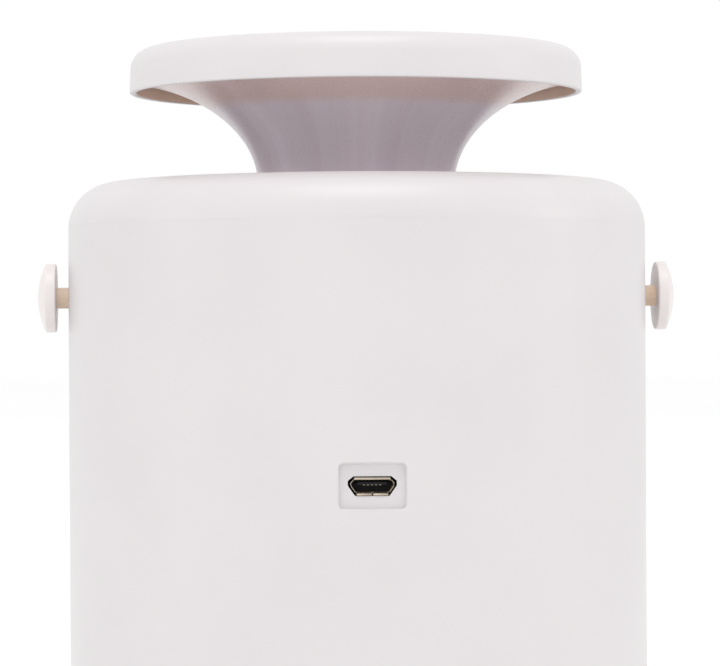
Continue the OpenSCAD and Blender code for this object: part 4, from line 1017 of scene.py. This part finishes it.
# the lamps, the circuit boards and what stands on them
# clear epoxy dome over a white ceramic package: bright, with a violet glint
ledWhite = surface({"name": "white LED package", "dark": "#d2cfdc", "light": "#e0deea", "patchMm": 0.8,
                    "grainMm": 0.1, "reliefUm": 2, "rough": (0.25, 0.35), "shader": {"IOR": 1.5}})
ledLens = surface({"name": "clear epoxy lens", "dark": "#a79bd0", "light": "#c3b9e6", "patchMm": 0.6,
                   "grainMm": 0.1, "reliefUm": 1, "rough": (0.05, 0.1),
                   "shader": {"IOR": 1.5, "Transmission Weight": 0.7}})
led = {"ring": 27, "half": (1.4, 1.75), "low": 133.2, "high": 133.9, "dome": 1.1, "round": 0.8,
       "sunk": 0.1, "hollow": 132.8, "count": 8, "first": 22.5}
ledBody = block((led["ring"] - led["half"][0], -led["half"][1], led["low"]),
                (led["ring"] + led["half"][0], led["half"][1], led["high"]), 0.12)
domeSide = arc((led["dome"] - led["round"], led["low"]), led["round"], 0, -90, 8)
ledDome = lathe([(0, led["low"] + led["sunk"]), (led["dome"], led["low"] + led["sunk"])]
                + domeSide[1:] + [(0, led["hollow"])], 32, at(led["ring"], 0, 0))
addPiece("uv_leds", [(copies(ledBody, ledWhite, led["count"], led["first"]), ledWhite),
                     (copies(ledDome, ledLens, led["count"], led["first"]), ledLens)])
softened("led_board", circuitBoard, 0.06)
softened("main_board", circuitBoard, 0.06)
softened("switch_board", circuitBoard, 0.06)
softened("tact_switch", blackNylon, 0.2)
softened("switch_plunger", blackNylon, 0.2)

# transformer: a nylon bobbin, two ferrite cores and a winding under yellow polyester tape
tape = surface({"name": "yellow polyester tape", "dark": "#b8952c", "light": "#d6b446", "patchMm": 2,
                "grainMm": 0.2, "reliefUm": 20, "rough": (0.2, 0.35), "bandMm": 2.1, "bandAxis": "Z",
                "shader": {"IOR": 1.57, "Coat Weight": 0.3}})
boardTop = boxMm("main_board")[1].z
low, high = boxMm("hv_transformer")
bobbin = block((low.x, low.y, boardTop), (high.x, high.y, boardTop + 2), 0.3)
winding = block((low.x + 2.2, low.y + 0.5, boardTop + 1.8),
                (high.x - 2.2, high.y - 0.5, high.z - 0.4), 1.2)
core = block((low.x + 0.8, low.y + 1.8, boardTop + 1.9), (low.x + 2.6, high.y - 1.8, high.z), 0.25)
cores = copies(core, ferrite, 2, 0, 0, (high.x - low.x - 3.4, 0, 0))
bridge = block((low.x + 1.0, low.y + 3.0, high.z - 1.3),
               (high.x - 1.0, high.y - 3.0, high.z - 0.02), 0.25)
addPiece("hv_transformer", [(bobbin, ivoryNylon), (winding, tape), (cores, ferrite), (bridge, ferrite)])

# dipped epoxy over a film capacitor: glossy orange with soft corners
dipped = surface({"name": "dipped orange epoxy", "dark": "#a8441a", "light": "#c25a26", "patchMm": 3,
                  "grainMm": 0.6, "reliefUm": 15, "rough": (0.15, 0.25), "shader": {"IOR": 1.55}})
low, high = boxMm("hv_capacitors")
dippedBlock = block((low.x, low.y, low.z), (low.x + 9, high.y, high.z), 1.1)
dippedPair = eased(copies(dippedBlock, dipped, 2, 0, 0, (9.8, 0, 0)), 0.3, 2, 30)
addPiece("hv_capacitors", [(dippedPair, dipped)])

# PVC sleeve over an aluminium can: dark blue and glossy, rolled in near its foot
sleeve = surface({"name": "dark blue PVC sleeve", "dark": "#141a33", "light": "#1d2544", "patchMm": 2,
                  "grainMm": 0.3, "reliefUm": 3, "rough": (0.2, 0.3), "shader": {"IOR": 1.53}})
low, high = boxMm("smoothing_capacitor")
canMiddle = (low + high) / 2
canRadius = (high.x - low.x) / 2
canOutline = rounded([(0, low.z), (canRadius, low.z, 0.3), (canRadius, low.z + 0.9, 0.3),
                      (canRadius - 0.35, low.z + 1.3, 0.3), (canRadius, low.z + 1.7, 0.3),
                      (canRadius, high.z, 0.5), (canRadius - 0.8, high.z, 0.2),
                      (canRadius - 0.9, high.z - 0.15, 0.1), (0, high.z - 0.15)])
addPiece("smoothing_capacitor", [(lathe(canOutline, 48, at(canMiddle.x, canMiddle.y, 0)), sleeve)])

low, high = boxMm("driver_chip")
chipBody = block((low.x, low.y + 0.7, low.z + 0.15), (high.x, high.y - 0.7, high.z), 0.12)
leg = block((low.x + 0.4, low.y, low.z), (low.x + 0.8, high.y, low.z + 0.5), 0.05)
addPiece("driver_chip", [(chipBody, blackNylon),
                         (copies(leg, zincSteel, 4, 0, 0, (1.27, 0, 0)), zincSteel)])
print("boards and their parts")


# leads inside the body, each along its own route
# PVC insulation: smooth, slightly waxy
blackPvc = surface({"name": "black PVC insulation", "dark": "#161617", "light": "#202022", "patchMm": 3,
                    "grainMm": 0.4, "reliefUm": 6, "rough": (0.35, 0.5), "shader": {"IOR": 1.53}})
redPvc = surface({"name": "red PVC insulation", "dark": "#8e1616", "light": "#a62020", "patchMm": 3,
                  "grainMm": 0.4, "reliefUm": 6, "rough": (0.35, 0.5), "shader": {"IOR": 1.53}})
bluePvc = surface({"name": "blue PVC insulation", "dark": "#1c3f8a", "light": "#2850a2", "patchMm": 3,
                   "grainMm": 0.4, "reliefUm": 6, "rough": (0.35, 0.5), "shader": {"IOR": 1.53}})
chord = -32.5
ledLine = [(0, -13.6, 133.9), (0, -13.6, 130.9), (0, -12.1, 123), (0, -11.6, 112), (0, -12.2, 107.5),
           (0, -14.6, 106.1), (0, -19.4, 106.1), (0, -27.7, 106.1), (0, -36, 106.1),
           (0, -39.7, 104.9), (0, -40.3, 101.1), (0.6, -40.3, 88), (1.2, chord - 6.5, boardTop + 10),
           (1.2, chord - 5.5, boardTop + 3), (1.2, chord - 5.5, boardTop)]
fanLine = [(0, -12, 60.15), (0, -15, 60.15), (0, -27.6, 60.15), (0, -29.6, 60.15), (0, -31.2, 61.35),
           (0, -31.3, boardTop + 0.6), (0, chord - 0.6, boardTop + 2), (0, chord - 1.6, boardTop + 1.2),
           (0, chord - 1.8, boardTop)]
switchLine = [(-6, 38.0, 72), (-6, 36.0, 72), (-7, 37.5, 74)]
switchLine += [(38.5 * math.cos(math.radians(a)), 38.5 * math.sin(math.radians(a)), 79)
               for a in range(105, 256, 15)]
switchLine += [(-2.6, chord - 6, boardTop + 9), (-2.6, chord - 6.5, boardTop + 3),
               (-2.6, chord - 6.5, boardTop)]


def gridLine(angle, start, level, end):
    way = Vector((math.cos(math.radians(angle)), math.sin(math.radians(angle)), 0))
    out = 34.6
    steps = ((start, level), (start + 3, level), (out - 1.6, level), (out - 0.2, level - 1.4),
             (out, (level + end) / 2), (out, end + 1.6), (out, end))
    return [way * r + Vector((0, 0, z)) for r, z in steps]


addPiece("led_lead", [(tube(ledLine, 0.9), blackPvc)])
addPiece("fan_lead", [(tube(fanLine, 0.6), redPvc)])
addPiece("switch_lead", [(tube(switchLine, 0.75), bluePvc)])
addPiece("live_lead", [(tube(gridLine(-75, 27.6, 83.8, boardTop + 10), 0.9), redPvc)])
addPiece("ground_lead", [(tube(gridLine(-105, 22.6, 79.2, boardTop + 9), 0.9), blackPvc)])
print("leads")


# a pale floor, soft light from all sides, and a long lens
floorLook = surface({"name": "pale matt floor", "dark": "#fdfdfd", "light": "#fefefe", "patchMm": 400,
                     "grainMm": 3, "reliefUm": 5, "rough": (0.7, 0.8)})
floorMesh = lathe([(0, 0), (6000, 0), (6000, -20), (0, -20)], 64)
floorMesh.materials.append(floorLook)
floor = bpy.data.objects.new("floor", floorMesh)
scene.collection.objects.link(floor)
# the tray stands on the floor, so the floor stays under it when the housing and the tray part
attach(floor, "tray")

room = bpy.data.worlds.new("white room")
room.use_nodes = True
sky = room.node_tree.nodes["Background"]
sky.inputs["Color"].default_value = linear("#ffffff")
sky.inputs["Strength"].default_value = 1.0
scene.world = room


def softbox(name, where, aim, size, power):
    lamp = bpy.data.lights.new(name, "AREA")
    lamp.shape = "SQUARE"
    lamp.size = size
    lamp.energy = power
    holder = bpy.data.objects.new(name, lamp)
    holder.location = where
    holder.rotation_mode = "QUATERNION"
    holder.rotation_quaternion = (Vector(aim) - Vector(where)).to_track_quat("-Z", "Y")
    scene.collection.objects.link(holder)
    return holder


softbox("top softbox", (0, -0.4, 1.3), (0, 0, 0.1), 0.7, 4.6)
softbox("front softbox", (-0.35, -1.4, 0.25), (0, 0, 0.1), 0.6, 0.75)
softbox("left softbox", (-1.3, -0.3, 0.4), (0, 0, 0.1), 0.5, 0.8)
softbox("right softbox", (1.3, -0.2, 0.4), (0, 0, 0.1), 0.5, 1.2)

shot = {"lens": 163.5, "distance": 0.5693, "height": 0.0889, "azimuth": -2.75, "aside": 0.0005,
        "roll": -0.3}
lens = bpy.data.cameras.new("camera")
lens.sensor_width = 36
lens.lens = shot["lens"]
lens.clip_start = 0.01
camera = bpy.data.objects.new("camera", lens)
bearing = math.radians(shot["azimuth"])
ahead = Vector((-math.sin(bearing), math.cos(bearing), 0))
across = Vector((math.cos(bearing), math.sin(bearing), 0))
camera.location = -ahead * shot["distance"] + across * shot["aside"] + Vector((0, 0, shot["height"]))
camera.rotation_mode = "QUATERNION"
camera.rotation_quaternion = ahead.to_track_quat("-Z", "Y") @ Quaternion(
    (0, 0, 1), math.radians(shot["roll"]))
scene.collection.objects.link(camera)
scene.camera = camera
scene.view_settings.view_transform = "Standard"
print("floor, light and camera")
